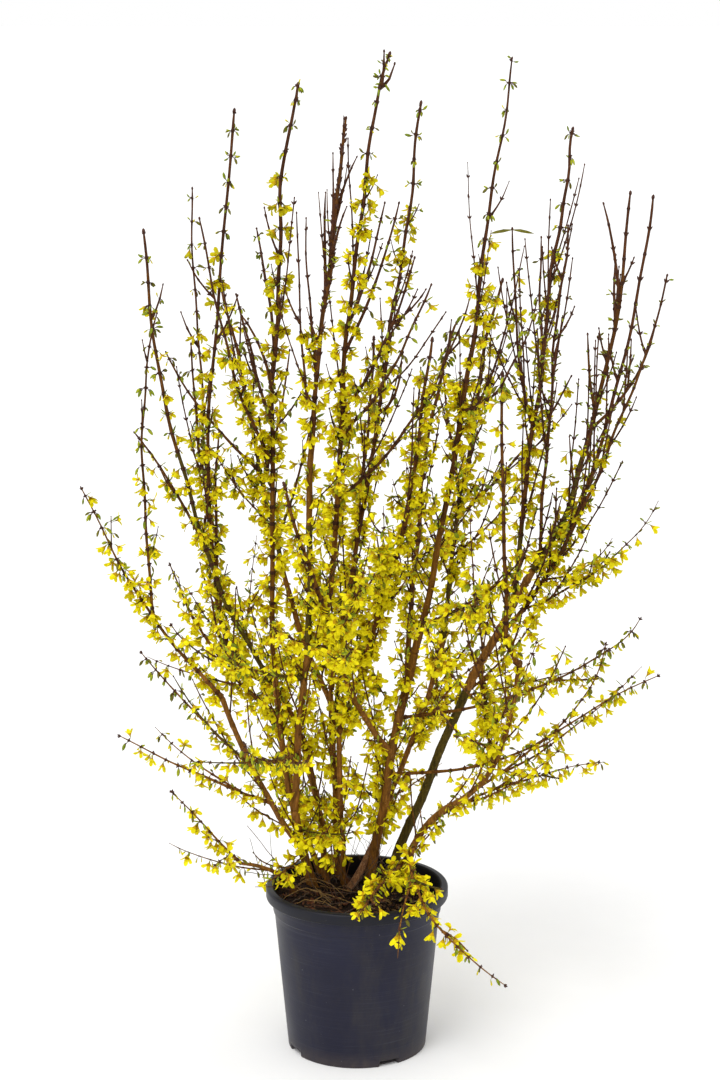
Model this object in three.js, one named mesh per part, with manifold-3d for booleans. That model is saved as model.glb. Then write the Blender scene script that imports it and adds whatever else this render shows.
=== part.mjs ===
// Forsythia shrub in flower, in its nursery pot. Millimetres, +Z up.
// The origin is the centre of the pot's flat underside, and +Y points to the back of the shrub.
// Several stems rise from the soil and fork into boughs. Each bough, or a place on a stem, carries
// one mass of blossom: a leader, canes that branch from it, short side twigs, and the flowers.

import * as THREE from "three";
import { mergeVertices } from "three/addons/utils/BufferGeometryUtils.js";
import Module from "manifold-3d";

const wasm = await Module();
wasm.setup();

// ---- Driving dimensions ----

const POT = {
  height: 280,
  footRadius: 116,
  wallTopRadius: 138, // outside of the plain wall, where it meets the shoulder
  shoulderRadius: 142, // outside of the band between the plain wall and the lip
  shoulderHeight: 237,
  rimRadius: 152,
  mouthRadius: 138.5, // inside of the lip
  lipHeight: 19,
  lipRound: 4, // the round of the lip's top
  wall: 3,
  floor: 4,
  edge: 2, // small steps and bevels
  segments: 36,
};
const NOTCH = { count: 4, width: 35, height: 9, depth: 16, turn: -1.09 }; // drain notches round the foot
const SOIL = { top: 250, flatRadius: 120, edgeDrop: 8 };
const GAP = 0.35; // clear space between neighbouring solids
const SLIVER = 0.02; // finest detail kept where solids are joined

// Radii are given at foot and tip, and spacings are along the cane.
const LIMB = { sides: 7, stepLength: 55, flare: 0.3, flareHeight: 20 };
const CANE = { sides: 3, stepLength: 120, leaderRadii: [4.1, 2.2], branchRadii: [2.9, 1.5] };
const TWIG = {
  spacing: 104,
  chance: 0.6, // that a place for a twig has one, where the blossom is full
  length: [50, 115],
  shortening: 0.35, // the share of its length that a twig near the cane's tip loses
  forwards: 1.8, // how much of its heading is along the cane
  upwards: 0.35,
  sweep: 0.12,
  radii: [1.9, 1.2],
  spare: 3,
};
const FLOWER = {
  length: 42,
  width: 30,
  thickness: 11,
  widest: 0.6, // how far along its length it is widest
  spacing: 116,
  first: 0.65, // how far into its stretch of the cane each pair stands
  turn: 0.7, // the most that a pair is turned about the cane, past its quarter turns
  droop: [-0.75, -0.15],
  spare: 0.6,
};
const BLOOM = { full: 1080, end: 1500, least: 0.12 }; // heights between which the flowers thin out

// Limbs, each after the one that it grows from. A stem has its foot on the soil at [x, y]; a bough
// starts on an earlier limb, at a share of its length. Each runs to its tip in one bend: with a sweep
// over 0 it leaves outwards and then rises, and under 0 it rises first. Radii are at foot and tip.
const LIMBS = [
  { name: "stem_left", foot: [-73, 42], tip: [-104, 12, 405], sweep: 0.1, radii: [8.4, 7.2] },
  {
    name: "stem_centre_left", on: "stem_left", at: 1, tip: [-80, -10, 680],
    sweep: -0.15, radii: [6.2, 5.2],
  },
  { name: "bough_tall_left", on: "stem_left", at: 0.93, tip: [-140, 30, 695], sweep: 0.2, radii: [5.2, 4.4] },
  { name: "bough_left", on: "stem_left", at: 0.6, tip: [-220, -40, 615], sweep: 0.1, radii: [5, 4.4] },
  {
    name: "bough_centre_left", on: "stem_centre_left", at: 1, tip: [-70, -50, 1065],
    sweep: -0.2, radii: [5.2, 4.8],
  },
  {
    name: "bough_centre", on: "stem_centre_left", at: 0.97, tip: [-35, 50, 875],
    sweep: 0.3, radii: [5, 4.4],
  },
  { name: "stem_rear_left", foot: [-52, 66], tip: [-150, 100, 605], sweep: -0.3, radii: [5.8, 4.6] },
  { name: "stem_rear", foot: [-30, 92], tip: [-45, 150, 575], sweep: 0.2, radii: [5.6, 4.5] },
  { name: "stem_inner", foot: [-22, 70], tip: [-30, 30, 535], sweep: 0.2, radii: [4.6, 4.3] },
  { name: "stem_short", foot: [-12, 52], tip: [60, 110, 410], sweep: 0.1, radii: [6.8, 5] },
  { name: "stem_main", foot: [20, 80], tip: [95, 0, 680], sweep: -0.05, radii: [8.4, 6.6] },
  { name: "bough_tall_right", on: "stem_main", at: 1, tip: [160, -10, 1020], sweep: 0.05, radii: [6.4, 4.9] },
  { name: "bough_front", on: "stem_main", at: 0.55, tip: [-20, -90, 665], sweep: 0.1, radii: [4.8, 4.3] },
  { name: "stem_right", foot: [50, 82], tip: [290, 40, 810], sweep: -0.06, radii: [8.2, 6.2] },
  { name: "stem_low_right", foot: [68, 52], tip: [160, -60, 440], sweep: -0.2, radii: [6.4, 4.8] },
  {
    name: "bough_low_right", on: "stem_low_right", at: 1, tip: [260, -110, 690],
    sweep: 0.3, radii: [4.7, 4.3],
  },
  { name: "stem_low_left", foot: [-95, 0], tip: [-190, -70, 340], sweep: -0.25, radii: [4.8, 4.3] },
  { name: "stem_back", foot: [-60, 95], tip: [-150, 210, 520], sweep: 0, radii: [5.2, 4.4] },
  { name: "bough_back_left", on: "stem_rear", at: 0.95, tip: [-130, 270, 760], sweep: 0.1, radii: [4.5, 4.3] },
  {
    name: "bough_back_right", on: "stem_short", at: 1, tip: [150, 250, 640],
    sweep: 0.1, radii: [4.8, 4.3],
  },
];

// Masses of blossom. The leader starts on a limb, at a share of its length. Each cane branches from
// the leader, or from an earlier cane where `from` gives its place in this list, counted from 1.
// `radii` are those of a leader that is stouter than CANE has it.
const MASSES = [
  {
    name: "blossom_left_outer", on: "bough_left", at: 1, tip: [-440, -60, 965], sweep: 0.1,
    canes: [{ at: 0.45, tip: [-310, -110, 1250], sweep: -0.25, bow: -15 }],
  },
  {
    name: "blossom_left_low", on: "bough_left", at: 0.35, tip: [-385, -90, 565], sweep: 0.05,
    canes: [{ at: 0.2, tip: [-335, 40, 540], sweep: 0.1 }],
  },
  { name: "blossom_left_middle", on: "bough_left", at: 0.6, tip: [-360, 60, 665], sweep: 0.05, canes: [] },
  {
    name: "blossom_front_left", on: "stem_centre_left", at: 0.8, tip: [-290, -170, 770], sweep: 0.25,
    canes: [
      { at: 0.3, tip: [-260, -230, 840], sweep: 0.05 },
      { at: 0.25, tip: [-215, -260, 770], sweep: 0.15 },
    ],
  },
  {
    name: "blossom_tall_left", on: "bough_tall_left", at: 1, tip: [-90, 0, 1595], sweep: -0.4,
    canes: [
      { at: 0.35, tip: [-165, 190, 1355], sweep: -0.05 },
      { at: 0.25, tip: [-180, -230, 1290], sweep: 0.05 },
      { at: 0.3, tip: [-185, 60, 1225], sweep: -0.15 },
      { at: 0.2, tip: [-245, -60, 1390], sweep: 0.15 },
    ],
  },
  {
    name: "blossom_upper_left", on: "stem_rear_left", at: 1, tip: [-195, 100, 1550], sweep: 0.5, bow: -60,
    canes: [
      { at: 0.3, tip: [-280, 270, 1415], sweep: 0.2 },
      { from: 1, at: 0.4, tip: [-270, 60, 1180], sweep: 0.2 },
      { at: 0.4, tip: [-235, 200, 1015], sweep: -0.25 },
    ],
  },
  {
    name: "blossom_left_high", on: "stem_rear_left", at: 0.85, tip: [-345, 60, 1360], sweep: 0.15, bow: -20,
    canes: [{ at: 0.35, tip: [-370, 140, 1020], sweep: -0.1 }],
  },
  {
    name: "blossom_centre_left", on: "bough_centre_left", at: 1, tip: [-15, -80, 1545], sweep: -0.05,
    canes: [
      { at: 0.6, tip: [-35, -120, 1495], sweep: 0.5 },
      { at: 0.4, tip: [-50, -40, 1430], sweep: -0.4 },
      { at: 0.15, tip: [-75, -230, 1405], sweep: 0.2 },
      { at: 0.07, tip: [-90, -130, 1405], sweep: 0.5 },
      { at: 0.65, tip: [0, -40, 1485], sweep: -0.1 },
      { at: 0.55, tip: [-15, -200, 1420], sweep: 0 },
    ],
  },
  {
    name: "blossom_crown", on: "bough_centre", at: 1, tip: [50, 60, 1640], sweep: -0.2,
    canes: [
      { at: 0.9, tip: [43, 30, 1645], sweep: 0.4 },
      { at: 0.9, tip: [60, 85, 1625], sweep: 0.25 },
      { at: 0.35, tip: [45, 230, 1395], sweep: 0.15 },
      { at: 0.3, tip: [65, 10, 1410], sweep: 0.1 },
      { at: 0.15, tip: [110, -230, 1305], sweep: 0.1 },
      { at: 0.05, tip: [190, 260, 1230], sweep: 0.2 },
      { at: 0.2, tip: [85, -200, 1345], sweep: 0.15 },
    ],
  },
  {
    name: "blossom_rear_tall", on: "stem_rear", at: 1, tip: [110, 300, 1555], sweep: 0.05,
    canes: [{ at: 0.5, tip: [75, 230, 1125], sweep: 0.35 }],
  },
  {
    name: "blossom_centre_right", on: "stem_inner", at: 1, tip: [115, -120, 1210], sweep: 0, bow: 25,
    canes: [
      { at: 0.2, tip: [-90, -60, 820], sweep: 0.15 },
      { at: 0.35, tip: [40, -190, 960], sweep: 0.15 },
    ],
  },
  {
    name: "blossom_inner_right", on: "stem_main", at: 0.85, tip: [175, 350, 1180], sweep: -0.3,
    canes: [
      { at: 0.25, tip: [230, 230, 975], sweep: 0.3 },
      { at: 0.3, tip: [60, 200, 930], sweep: 0.15 },
    ],
  },
  {
    name: "blossom_tall_right", on: "bough_tall_right", at: 1, tip: [240, -30, 1635], sweep: 0,
    radii: [4.7, 2.3],
    canes: [
      { at: 0.03, tip: [275, 150, 1330], sweep: 0.2 },
      { at: 0.1, tip: [265, -290, 1290], sweep: 0.25 },
    ],
  },
  {
    name: "blossom_front_inner", on: "bough_tall_right", at: 0.15, tip: [270, -160, 895], sweep: 0.15,
    canes: [{ at: 0.2, tip: [195, -200, 815], sweep: 0.1 }],
  },
  {
    name: "blossom_right_long", on: "stem_right", at: 1, tip: [440, 70, 1420], sweep: 0.25,
    radii: [5.8, 2.2],
    canes: [
      { at: 0.8, tip: [395, 60, 1405], sweep: -0.15 },
      { at: 0.75, tip: [430, 200, 1310], sweep: 0.15 },
      { at: 0.55, tip: [370, 20, 1200], sweep: 0.2 },
      { at: 0.5, tip: [475, 0, 1215], sweep: 0.2 },
      { at: 0.05, tip: [320, -190, 1390], sweep: -0.15 },
    ],
  },
  {
    name: "blossom_right_upright", on: "stem_right", at: 0.88, tip: [360, 220, 1515], sweep: -0.2, bow: 12,
    canes: [
      { at: 0.3, tip: [250, 60, 1365], sweep: 0.3 },
      { at: 0.4, tip: [315, 320, 1330], sweep: 0.15 },
    ],
  },
  {
    name: "blossom_right_outer", on: "stem_right", at: 0.75, tip: [455, -90, 1425], sweep: 0.25,
    canes: [
      { at: 0.4, tip: [470, -180, 1315], sweep: 0.1 },
      { at: 0.15, tip: [460, -220, 975], sweep: 0.15 },
      { at: 0.25, tip: [400, -140, 900], sweep: 0.2 },
    ],
  },
  {
    name: "blossom_right_middle", on: "stem_main", at: 0.7, tip: [470, 60, 725], sweep: 0.3,
    canes: [{ at: 0.1, tip: [265, -20, 710], sweep: -0.15 }],
  },
  { name: "blossom_right_under", on: "stem_main", at: 0.46, tip: [405, -40, 705], sweep: 0.4, canes: [] },
  {
    name: "blossom_right_low", on: "stem_low_right", at: 0.55, tip: [480, -120, 675], sweep: -0.05,
    canes: [
      { at: 0.35, tip: [460, -60, 670], sweep: 0.1 },
      { at: 0.15, tip: [320, -220, 580], sweep: 0.1 },
      { at: 0.1, tip: [385, -240, 565], sweep: -0.1 },
    ],
  },
  {
    name: "blossom_right_switch", on: "bough_low_right", at: 1, tip: [225, -150, 1160], sweep: 0.5,
    canes: [],
  },
  {
    name: "blossom_rim_left", on: "stem_low_left", at: 1, tip: [-300, -120, 480], sweep: 0,
    canes: [{ at: 0.08, tip: [-230, -170, 370], sweep: -0.4 }],
  },
  {
    name: "blossom_rim_right", on: "stem_low_right", at: 0.45, tip: [235, -250, 200], sweep: 0.3, bow: -80,
    canes: [{ at: 0.25, tip: [65, -230, 240], sweep: 0.3 }],
  },
  { name: "blossom_rim_front", on: "stem_low_right", at: 0.25, tip: [0, -200, 290], sweep: 0.5, canes: [] },
  {
    name: "blossom_front_middle", on: "bough_front", at: 1, tip: [-110, -270, 1010], sweep: 0,
    canes: [
      { at: 0.2, tip: [20, -300, 930], sweep: 0.15 },
      { at: 0.15, tip: [-140, -270, 800], sweep: 0.15 },
      { at: 0.1, tip: [-10, -330, 770], sweep: 0.15 },
    ],
  },
  {
    name: "blossom_front_right", on: "bough_low_right", at: 0.45, tip: [170, -330, 970], sweep: 0.1,
    canes: [
      { at: 0.3, tip: [90, -340, 850], sweep: 0.15 },
      { at: 0.2, tip: [270, -340, 790], sweep: 0.15 },
      { at: 0.1, tip: [120, -330, 690], sweep: 0.15 },
    ],
  },
  {
    name: "blossom_front_low", on: "stem_centre_left", at: 0.3, tip: [-170, -320, 620], sweep: 0.2,
    canes: [
      { at: 0.3, tip: [-70, -330, 600], sweep: 0.1 },
      { at: 0.35, tip: [-260, -220, 560], sweep: 0.1 },
    ],
  },
  {
    name: "blossom_back_left", on: "bough_back_left", at: 1, tip: [-235, 390, 1230], sweep: 0,
    canes: [
      { at: 0.3, tip: [-120, 420, 1120], sweep: 0.1 },
      { at: 0.35, tip: [-330, 320, 1130], sweep: 0.1 },
      { at: 0.1, tip: [-80, 340, 1010], sweep: 0.1 },
      { at: 0.15, tip: [-270, 420, 960], sweep: 0.1 },
    ],
  },
  {
    name: "blossom_back_right", on: "bough_back_right", at: 1, tip: [250, 370, 1250], sweep: -0.1,
    canes: [
      { at: 0.35, tip: [150, 430, 1120], sweep: 0.1 },
      { at: 0.3, tip: [370, 310, 1090], sweep: 0.1 },
      { at: 0.15, tip: [80, 370, 960], sweep: 0.1 },
      { at: 0.2, tip: [320, 420, 930], sweep: 0.15 },
    ],
  },
  {
    name: "blossom_back_middle", on: "stem_rear", at: 0.8, tip: [30, 360, 1150], sweep: 0.1,
    canes: [
      { at: 0.3, tip: [-50, 420, 900], sweep: 0.1 },
      { at: 0.2, tip: [90, 390, 820], sweep: 0.15 },
    ],
  },
  {
    name: "blossom_back_low_left", on: "stem_back", at: 1, tip: [-330, 300, 760], sweep: 0.15,
    canes: [
      { at: 0.3, tip: [-180, 400, 790], sweep: 0.15 },
      { at: 0.2, tip: [-360, 200, 620], sweep: 0.1 },
      { at: 0.1, tip: [-90, 370, 640], sweep: 0.1 },
    ],
  },
  {
    name: "blossom_back_low_right", on: "bough_back_right", at: 0.5, tip: [350, 300, 730], sweep: 0.2,
    canes: [
      { at: 0.3, tip: [250, 410, 740], sweep: 0.15 },
      { at: 0.2, tip: [400, 210, 600], sweep: 0.1 },
      { at: 0.1, tip: [140, 400, 640], sweep: 0.1 },
    ],
  },
  {
    name: "blossom_rim_back", on: "stem_short", at: 0.6, tip: [50, 320, 450], sweep: 0.3,
    canes: [
      { at: 0.3, tip: [150, 290, 400], sweep: 0.1 },
      { at: 0.3, tip: [-60, 300, 430], sweep: 0.1 },
    ],
  },
];

// ---- Solids and geometries ----

// A closed geometry as a solid that can be joined and cut.
function solidFrom(geometry) {
  geometry.deleteAttribute("normal");
  geometry.deleteAttribute("uv");
  const merged = mergeVertices(geometry, 1e-3);
  return new wasm.Manifold(
    new wasm.Mesh({
      numProp: 3,
      vertProperties: merged.attributes.position.array,
      triVerts: new Uint32Array(merged.index.array),
    }),
  );
}

// The largest single body of a solid: scraps and the walls of sealed hollows are dropped, and so are
// slivers that are too fine to keep in a file.
function largestBody(solid) {
  const bodies = solidFrom(geometryFrom(solid.asOriginal().simplify(SLIVER))).decompose();
  return bodies.reduce((best, body) => (body.volume() > best.volume() ? body : best));
}

function geometryFrom(solid) {
  const { vertProperties, triVerts } = solid.getMesh();
  const geometry = new THREE.BufferGeometry();
  geometry.setAttribute("position", new THREE.BufferAttribute(new Float32Array(vertProperties), 3));
  geometry.setIndex(new THREE.BufferAttribute(new Uint32Array(triVerts), 1));
  geometry.computeVertexNormals();
  return geometry;
}

// Random numbers from 0 to 1 that are the same for the same seed (mulberry32).
function randomFrom(seed) {
  let state = seed >>> 0;
  return () => {
    state = (state + 0x6d2b79f5) >>> 0;
    let mixed = Math.imul(state ^ (state >>> 15), state | 1);
    mixed ^= mixed + Math.imul(mixed ^ (mixed >>> 7), mixed | 61);
    return ((mixed ^ (mixed >>> 14)) >>> 0) / 4294967296;
  };
}

// ---- Curves ----

// The one bend of a limb or cane, from start to tip. Bow moves its middle sideways, along X.
function bend(start, tip, sweep, bow = 0) {
  const reach = tip.clone().sub(start);
  const knee = new THREE.Vector3(0.5 + sweep, 0.5 + sweep, 0.5 - sweep).multiply(reach).add(start);
  knee.x += 2 * bow;
  return new THREE.QuadraticBezierCurve3(start, knee, tip);
}

// A direction square to the whole of a curve, which lies in one plane.
function squareTo(curve) {
  const chord = curve.v2.clone().sub(curve.v0);
  const side = curve.v1.clone().sub(curve.v0).cross(chord);
  if (side.length() < 1e-3 * chord.lengthSq()) side.crossVectors(chord, new THREE.Vector3(1, 0, 0));
  return side.normalize();
}

function stepsOf(curve, stepLength) {
  return Math.max(2, Math.round(curve.getLength() / stepLength));
}

// A tapering tube round a curve, with flat ends that reach past it by `over`. Its ends are square to
// the curve, but a level foot is cut level.
function tube(curve, radiusAt, sides, steps, { over = 0, levelFoot = false } = {}) {
  const geometry = new THREE.CylinderGeometry(1, 1, 1, sides, steps);
  const spots = geometry.attributes.position;
  const side = squareTo(curve);
  for (let i = 0; i < spots.count; i += 1) {
    const share = spots.getY(i) + 0.5;
    const along = curve.getTangent(share);
    const across = side.clone().cross(along);
    const radius = radiusAt(share);
    const end = share === 0 ? -over : share === 1 ? over : 0;
    const spot = curve
      .getPoint(share)
      .addScaledVector(side, radius * spots.getX(i))
      .addScaledVector(across, radius * spots.getZ(i))
      .addScaledVector(along, end);
    if (levelFoot && share === 0) spot.z = curve.v0.z;
    spots.setXYZ(i, spot.x, spot.y, spot.z);
  }
  return geometry;
}

// ---- What is placed already ----

// Limbs, canes, twigs and flowers as short straight pieces, each with a radius, the node that owns it
// and the curve that it lies on. A flower has no curve.
const placed = [];

// The least distance between two straight pieces a-b and c-d.
function distanceBetween(a, b, c, d) {
  const u = b.clone().sub(a);
  const v = d.clone().sub(c);
  const w = a.clone().sub(c);
  const uu = u.dot(u);
  const uv = u.dot(v);
  const vv = v.dot(v);
  const uw = u.dot(w);
  const vw = v.dot(w);
  const clamp = THREE.MathUtils.clamp;
  const spread = uu * vv - uv * uv;
  let s = spread > 1e-9 ? clamp((uv * vw - vv * uw) / spread, 0, 1) : 0;
  const t = clamp((uv * s + vw) / vv, 0, 1);
  s = clamp((uv * t - uw) / uu, 0, 1);
  return w.addScaledVector(u, s).addScaledVector(v, -t).length();
}

function piecesAlong(owner, curve, radiusAt, steps) {
  const pieces = [];
  for (let i = 0; i < steps; i += 1) {
    const from = curve.getPoint(i / steps);
    const to = curve.getPoint((i + 1) / steps);
    pieces.push({ owner, curve, from, to, radius: radiusAt(i / steps) });
  }
  return pieces;
}

// Whether a piece keeps `spare` clear of the pot and the soil, at a few places along it.
function clearOfPot(piece, spare) {
  const reach = piece.radius + spare;
  return [0, 0.25, 0.5, 0.75, 1].every((share) => {
    const spot = piece.from.clone().lerp(piece.to, share);
    const out = Math.hypot(spot.x, spot.y);
    const inside = out + reach < innerRadiusAt(spot.z) && spot.z - reach > SOIL.top;
    return spot.z - reach > POT.height || out - reach > POT.rimRadius || inside;
  });
}

// Whether a piece keeps `spare` clear of the pot and of everything placed that it may not touch.
function isClear(piece, spare, mayTouch) {
  return (
    clearOfPot(piece, spare) &&
    placed.every(
      (other) =>
        mayTouch(other) ||
        distanceBetween(piece.from, piece.to, other.from, other.to) > piece.radius + other.radius + spare,
    )
  );
}

// ---- Pot and soil ----

function innerRadiusAt(height) {
  const rise = (height - POT.floor) / (POT.height - POT.floor);
  return THREE.MathUtils.lerp(POT.footRadius - POT.wall, POT.mouthRadius, rise);
}

function turned(outline) {
  const points = outline.map(([radius, height]) => new THREE.Vector2(radius, height));
  return solidFrom(new THREE.LatheGeometry(points, POT.segments).rotateX(Math.PI / 2));
}

// A tapered tub with a thick lip over a shallow band, and drain notches cut into the edge of its foot.
function pot() {
  const lipFoot = POT.height - POT.lipHeight;
  let body = turned([
    [0, 0],
    [POT.footRadius - POT.wall, 0],
    [POT.footRadius, POT.edge],
    [POT.wallTopRadius, POT.shoulderHeight],
    [POT.shoulderRadius - POT.edge, POT.shoulderHeight + POT.edge],
    [POT.shoulderRadius, lipFoot],
    [POT.rimRadius - POT.edge, lipFoot],
    [POT.rimRadius, lipFoot + POT.edge],
    [POT.rimRadius, POT.height - POT.lipRound],
    [POT.rimRadius - POT.lipRound, POT.height],
    [POT.mouthRadius + POT.edge, POT.height],
    [POT.mouthRadius, POT.height - POT.edge],
    [innerRadiusAt(POT.floor), POT.floor],
    [0, POT.floor],
  ]);
  for (let i = 0; i < NOTCH.count; i += 1) {
    const box = new THREE.BoxGeometry(NOTCH.depth, NOTCH.width, 2 * NOTCH.height);
    box.translate(POT.footRadius, 0, 0);
    box.rotateZ(NOTCH.turn + (2 * Math.PI * i) / NOTCH.count);
    body = body.subtract(solidFrom(box));
  }
  return body;
}

// The compost that fills the pot, lower at its edge than where the stems stand.
function soil() {
  const low = POT.floor + GAP;
  const edge = SOIL.top - SOIL.edgeDrop;
  return turned([
    [0, low],
    [innerRadiusAt(low) - GAP, low],
    [innerRadiusAt(edge) - GAP, edge],
    [SOIL.flatRadius, SOIL.top],
    [0, SOIL.top],
  ]);
}

// ---- Stems and boughs ----

const limbs = new Map();

// A limb's radius along its length. A stem is wider at its root, where it meets the soil.
function limbRadius(row, curve) {
  const length = curve.getLength();
  return (share) => {
    const flare = row.foot ? LIMB.flare * Math.exp((-share * length) / LIMB.flareHeight) : 0;
    return THREE.MathUtils.lerp(row.radii[0], row.radii[1], share) * (1 + flare);
  };
}

// A stem's foot is cut level where it stands on the soil. A limb is cut clear of those before it.
function growLimb(row) {
  const start = row.foot
    ? new THREE.Vector3(...row.foot, SOIL.top + GAP)
    : limbs.get(row.on).curve.getPoint(row.at);
  const curve = bend(start, new THREE.Vector3(...row.tip), row.sweep);
  const radiusAt = limbRadius(row, curve);
  const steps = stepsOf(curve, LIMB.stepLength);
  let body = solidFrom(tube(curve, radiusAt, LIMB.sides, steps, { levelFoot: Boolean(row.foot) }));
  for (const other of limbs.values()) body = body.subtract(other.around);
  const widened = (share) => radiusAt(share) + GAP / Math.cos(Math.PI / LIMB.sides);
  const around = solidFrom(tube(curve, widened, LIMB.sides, steps, { over: GAP }));
  limbs.set(row.name, { curve, around, body: largestBody(body) });
  placed.push(...piecesAlong(row.name, curve, radiusAt, 2 * steps));
}

// ---- Masses of blossom ----

// One cane or twig: its curve, its radius along it, and the straight steps that its solid has.
function caneOn(curve, radii) {
  const steps = stepsOf(curve, CANE.stepLength);
  return { curve, steps, radiusAt: (share) => THREE.MathUtils.lerp(radii[0], radii[1], share) };
}

// A point on the axis of a cane's solid, which is straight between its steps.
function spotOn(cane, share) {
  const step = Math.min(Math.floor(share * cane.steps), cane.steps - 1);
  const from = cane.curve.getPoint(step / cane.steps);
  return from.lerp(cane.curve.getPoint((step + 1) / cane.steps), share * cane.steps - step);
}

function namedCanes(mass) {
  const start = limbs.get(mass.on).curve.getPoint(mass.at);
  const leader = bend(start, new THREE.Vector3(...mass.tip), mass.sweep, mass.bow);
  const canes = [caneOn(leader, mass.radii ?? CANE.leaderRadii)];
  for (const row of mass.canes) {
    const from = spotOn(canes[row.from ?? 0], row.at);
    canes.push(caneOn(bend(from, new THREE.Vector3(...row.tip), row.sweep, row.bow), CANE.branchRadii));
  }
  return canes;
}

// A direction that leaves a curve sideways, turned about it by an angle.
function sideways(curve, share, angle) {
  const along = curve.getTangent(share);
  const side = squareTo(curve);
  const across = side.clone().cross(along);
  return side.multiplyScalar(Math.cos(angle)).addScaledVector(across, Math.sin(angle));
}

// How likely buds are to open at a height: the tops of the canes are nearly bare.
function bloomAt(height) {
  const fade = (height - BLOOM.full) / (BLOOM.end - BLOOM.full);
  return THREE.MathUtils.clamp(1 - fade, BLOOM.least, 1);
}

// Short twigs that leave a cane here and there, slanting on and upwards.
function sideTwigs(owner, cane, random) {
  const twigs = [];
  const count = Math.floor(cane.curve.getLength() / TWIG.spacing);
  for (let i = 1; i < count; i += 1) {
    const share = i / count;
    const start = spotOn(cane, share);
    const chosen = random() < TWIG.chance * bloomAt(start.z);
    const angle = 2 * Math.PI * random();
    const length = THREE.MathUtils.lerp(...TWIG.length, random()) * (1 - TWIG.shortening * share);
    if (!chosen) continue;
    const heading = sideways(cane.curve, share, angle)
      .addScaledVector(cane.curve.getTangent(share), TWIG.forwards)
      .add(new THREE.Vector3(0, 0, TWIG.upwards))
      .normalize();
    const tip = start.clone().addScaledVector(heading, length);
    const twig = caneOn(bend(start, tip, TWIG.sweep), TWIG.radii);
    const pieces = piecesAlong(owner, twig.curve, twig.radiusAt, twig.steps);
    if (!pieces.every((piece) => isClear(piece, TWIG.spare, (other) => other.owner === owner))) continue;
    placed.push(...pieces);
    twigs.push(twig);
  }
  return twigs;
}

// A flower as six faces: a point sunk in the cane, three points round its widest part, and its mouth.
function flowerSolid(root, heading, across) {
  const geometry = new THREE.SphereGeometry(1, 3, 2);
  const spots = geometry.attributes.position;
  const deep = heading.clone().cross(across);
  const sidePoint = Math.sin(Math.PI / 3);
  const reach = { "-1": 0, 0: FLOWER.widest * FLOWER.length, 1: FLOWER.length };
  for (let i = 0; i < spots.count; i += 1) {
    const spot = root
      .clone()
      .addScaledVector(heading, reach[Math.round(spots.getY(i))])
      .addScaledVector(across, ((FLOWER.width / 2) * spots.getZ(i)) / sidePoint)
      .addScaledVector(deep, (FLOWER.thickness / 2) * spots.getX(i));
    spots.setXYZ(i, spot.x, spot.y, spot.z);
  }
  return solidFrom(geometry);
}

// Flowers in opposite pairs along a cane, each pair a quarter turn on from the last, mouths hanging.
// A flower may touch its own cane and the other flowers of its mass, and nothing else.
function flowersOn(owner, cane, random) {
  const flowers = [];
  const mayTouch = (other) => other.owner === owner && (!other.curve || other.curve === cane.curve);
  const count = Math.max(1, Math.floor(cane.curve.getLength() / FLOWER.spacing));
  for (let i = 0; i < count; i += 1) {
    const share = (i + FLOWER.first) / count;
    const root = spotOn(cane, share);
    const open = random() < bloomAt(root.z);
    const turn = (Math.PI / 2) * (i % 2) + FLOWER.turn * random();
    for (const angle of [turn, turn + Math.PI]) {
      const droop = THREE.MathUtils.lerp(...FLOWER.droop, random());
      if (!open) continue;
      const heading = sideways(cane.curve, share, angle)
        .add(new THREE.Vector3(0, 0, droop))
        .normalize();
      const across = cane.curve.getTangent(share).cross(heading).normalize();
      const mouth = root.clone().addScaledVector(heading, FLOWER.length);
      const piece = { owner, from: root, to: mouth, radius: FLOWER.width / 2 };
      if (!isClear(piece, FLOWER.spare, mayTouch)) continue;
      placed.push(piece);
      flowers.push(flowerSolid(root, heading, across));
    }
  }
  return flowers;
}

function caneSolid(cane) {
  return solidFrom(tube(cane.curve, cane.radiusAt, CANE.sides, cane.steps));
}

// ---- The shrub ----

const colours = {
  plastic: new THREE.MeshStandardMaterial({ color: 0x24252d, roughness: 0.5, metalness: 0 }),
  soil: new THREE.MeshStandardMaterial({ color: 0x3b2a1e, roughness: 0.95, metalness: 0 }),
  bark: new THREE.MeshStandardMaterial({ color: 0x7b5438, roughness: 0.8, metalness: 0 }),
  blossom: new THREE.MeshStandardMaterial({ color: 0xe9d51c, roughness: 0.6, metalness: 0 }),
};

const shrub = new THREE.Group();

function addNode(name, solid, material) {
  const mesh = new THREE.Mesh(geometryFrom(solid), material);
  mesh.name = name;
  shrub.add(mesh);
}

addNode("pot", pot(), colours.plastic);
addNode("soil", soil(), colours.soil);

LIMBS.forEach(growLimb);
limbs.forEach((limb, name) => addNode(name, limb.body, colours.bark));

// All named canes are placed before any twig, and all twigs before any flower.
const growing = MASSES.map((mass, index) => {
  const canes = namedCanes(mass);
  for (const cane of canes) placed.push(...piecesAlong(mass.name, cane.curve, cane.radiusAt, cane.steps));
  return { name: mass.name, canes, random: randomFrom(index + 1) };
});
for (const mass of growing) {
  const twigs = mass.canes.flatMap((cane) => sideTwigs(mass.name, cane, mass.random));
  mass.canes.push(...twigs);
}
for (const mass of growing) {
  const flowers = mass.canes.flatMap((cane) => flowersOn(mass.name, cane, mass.random));
  let body = wasm.Manifold.union([...mass.canes.map(caneSolid), ...flowers]);
  for (const limb of limbs.values()) body = body.subtract(limb.around);
  addNode(mass.name, largestBody(body), colours.blossom);
}

export default shrub;
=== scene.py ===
"""Forsythia shrub in flower, in its nursery pot: the looks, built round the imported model.

The skeleton of limbs, canes and side twigs follows the same named places and the same seeded rule as
the model's source, in millimetres. It is then carried on to finer shoots, nodes, flowers and buds.
Every mesh is made in metres, in the model's frame: +Z up, the front of the shrub faces -Y.
"""

import math

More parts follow.
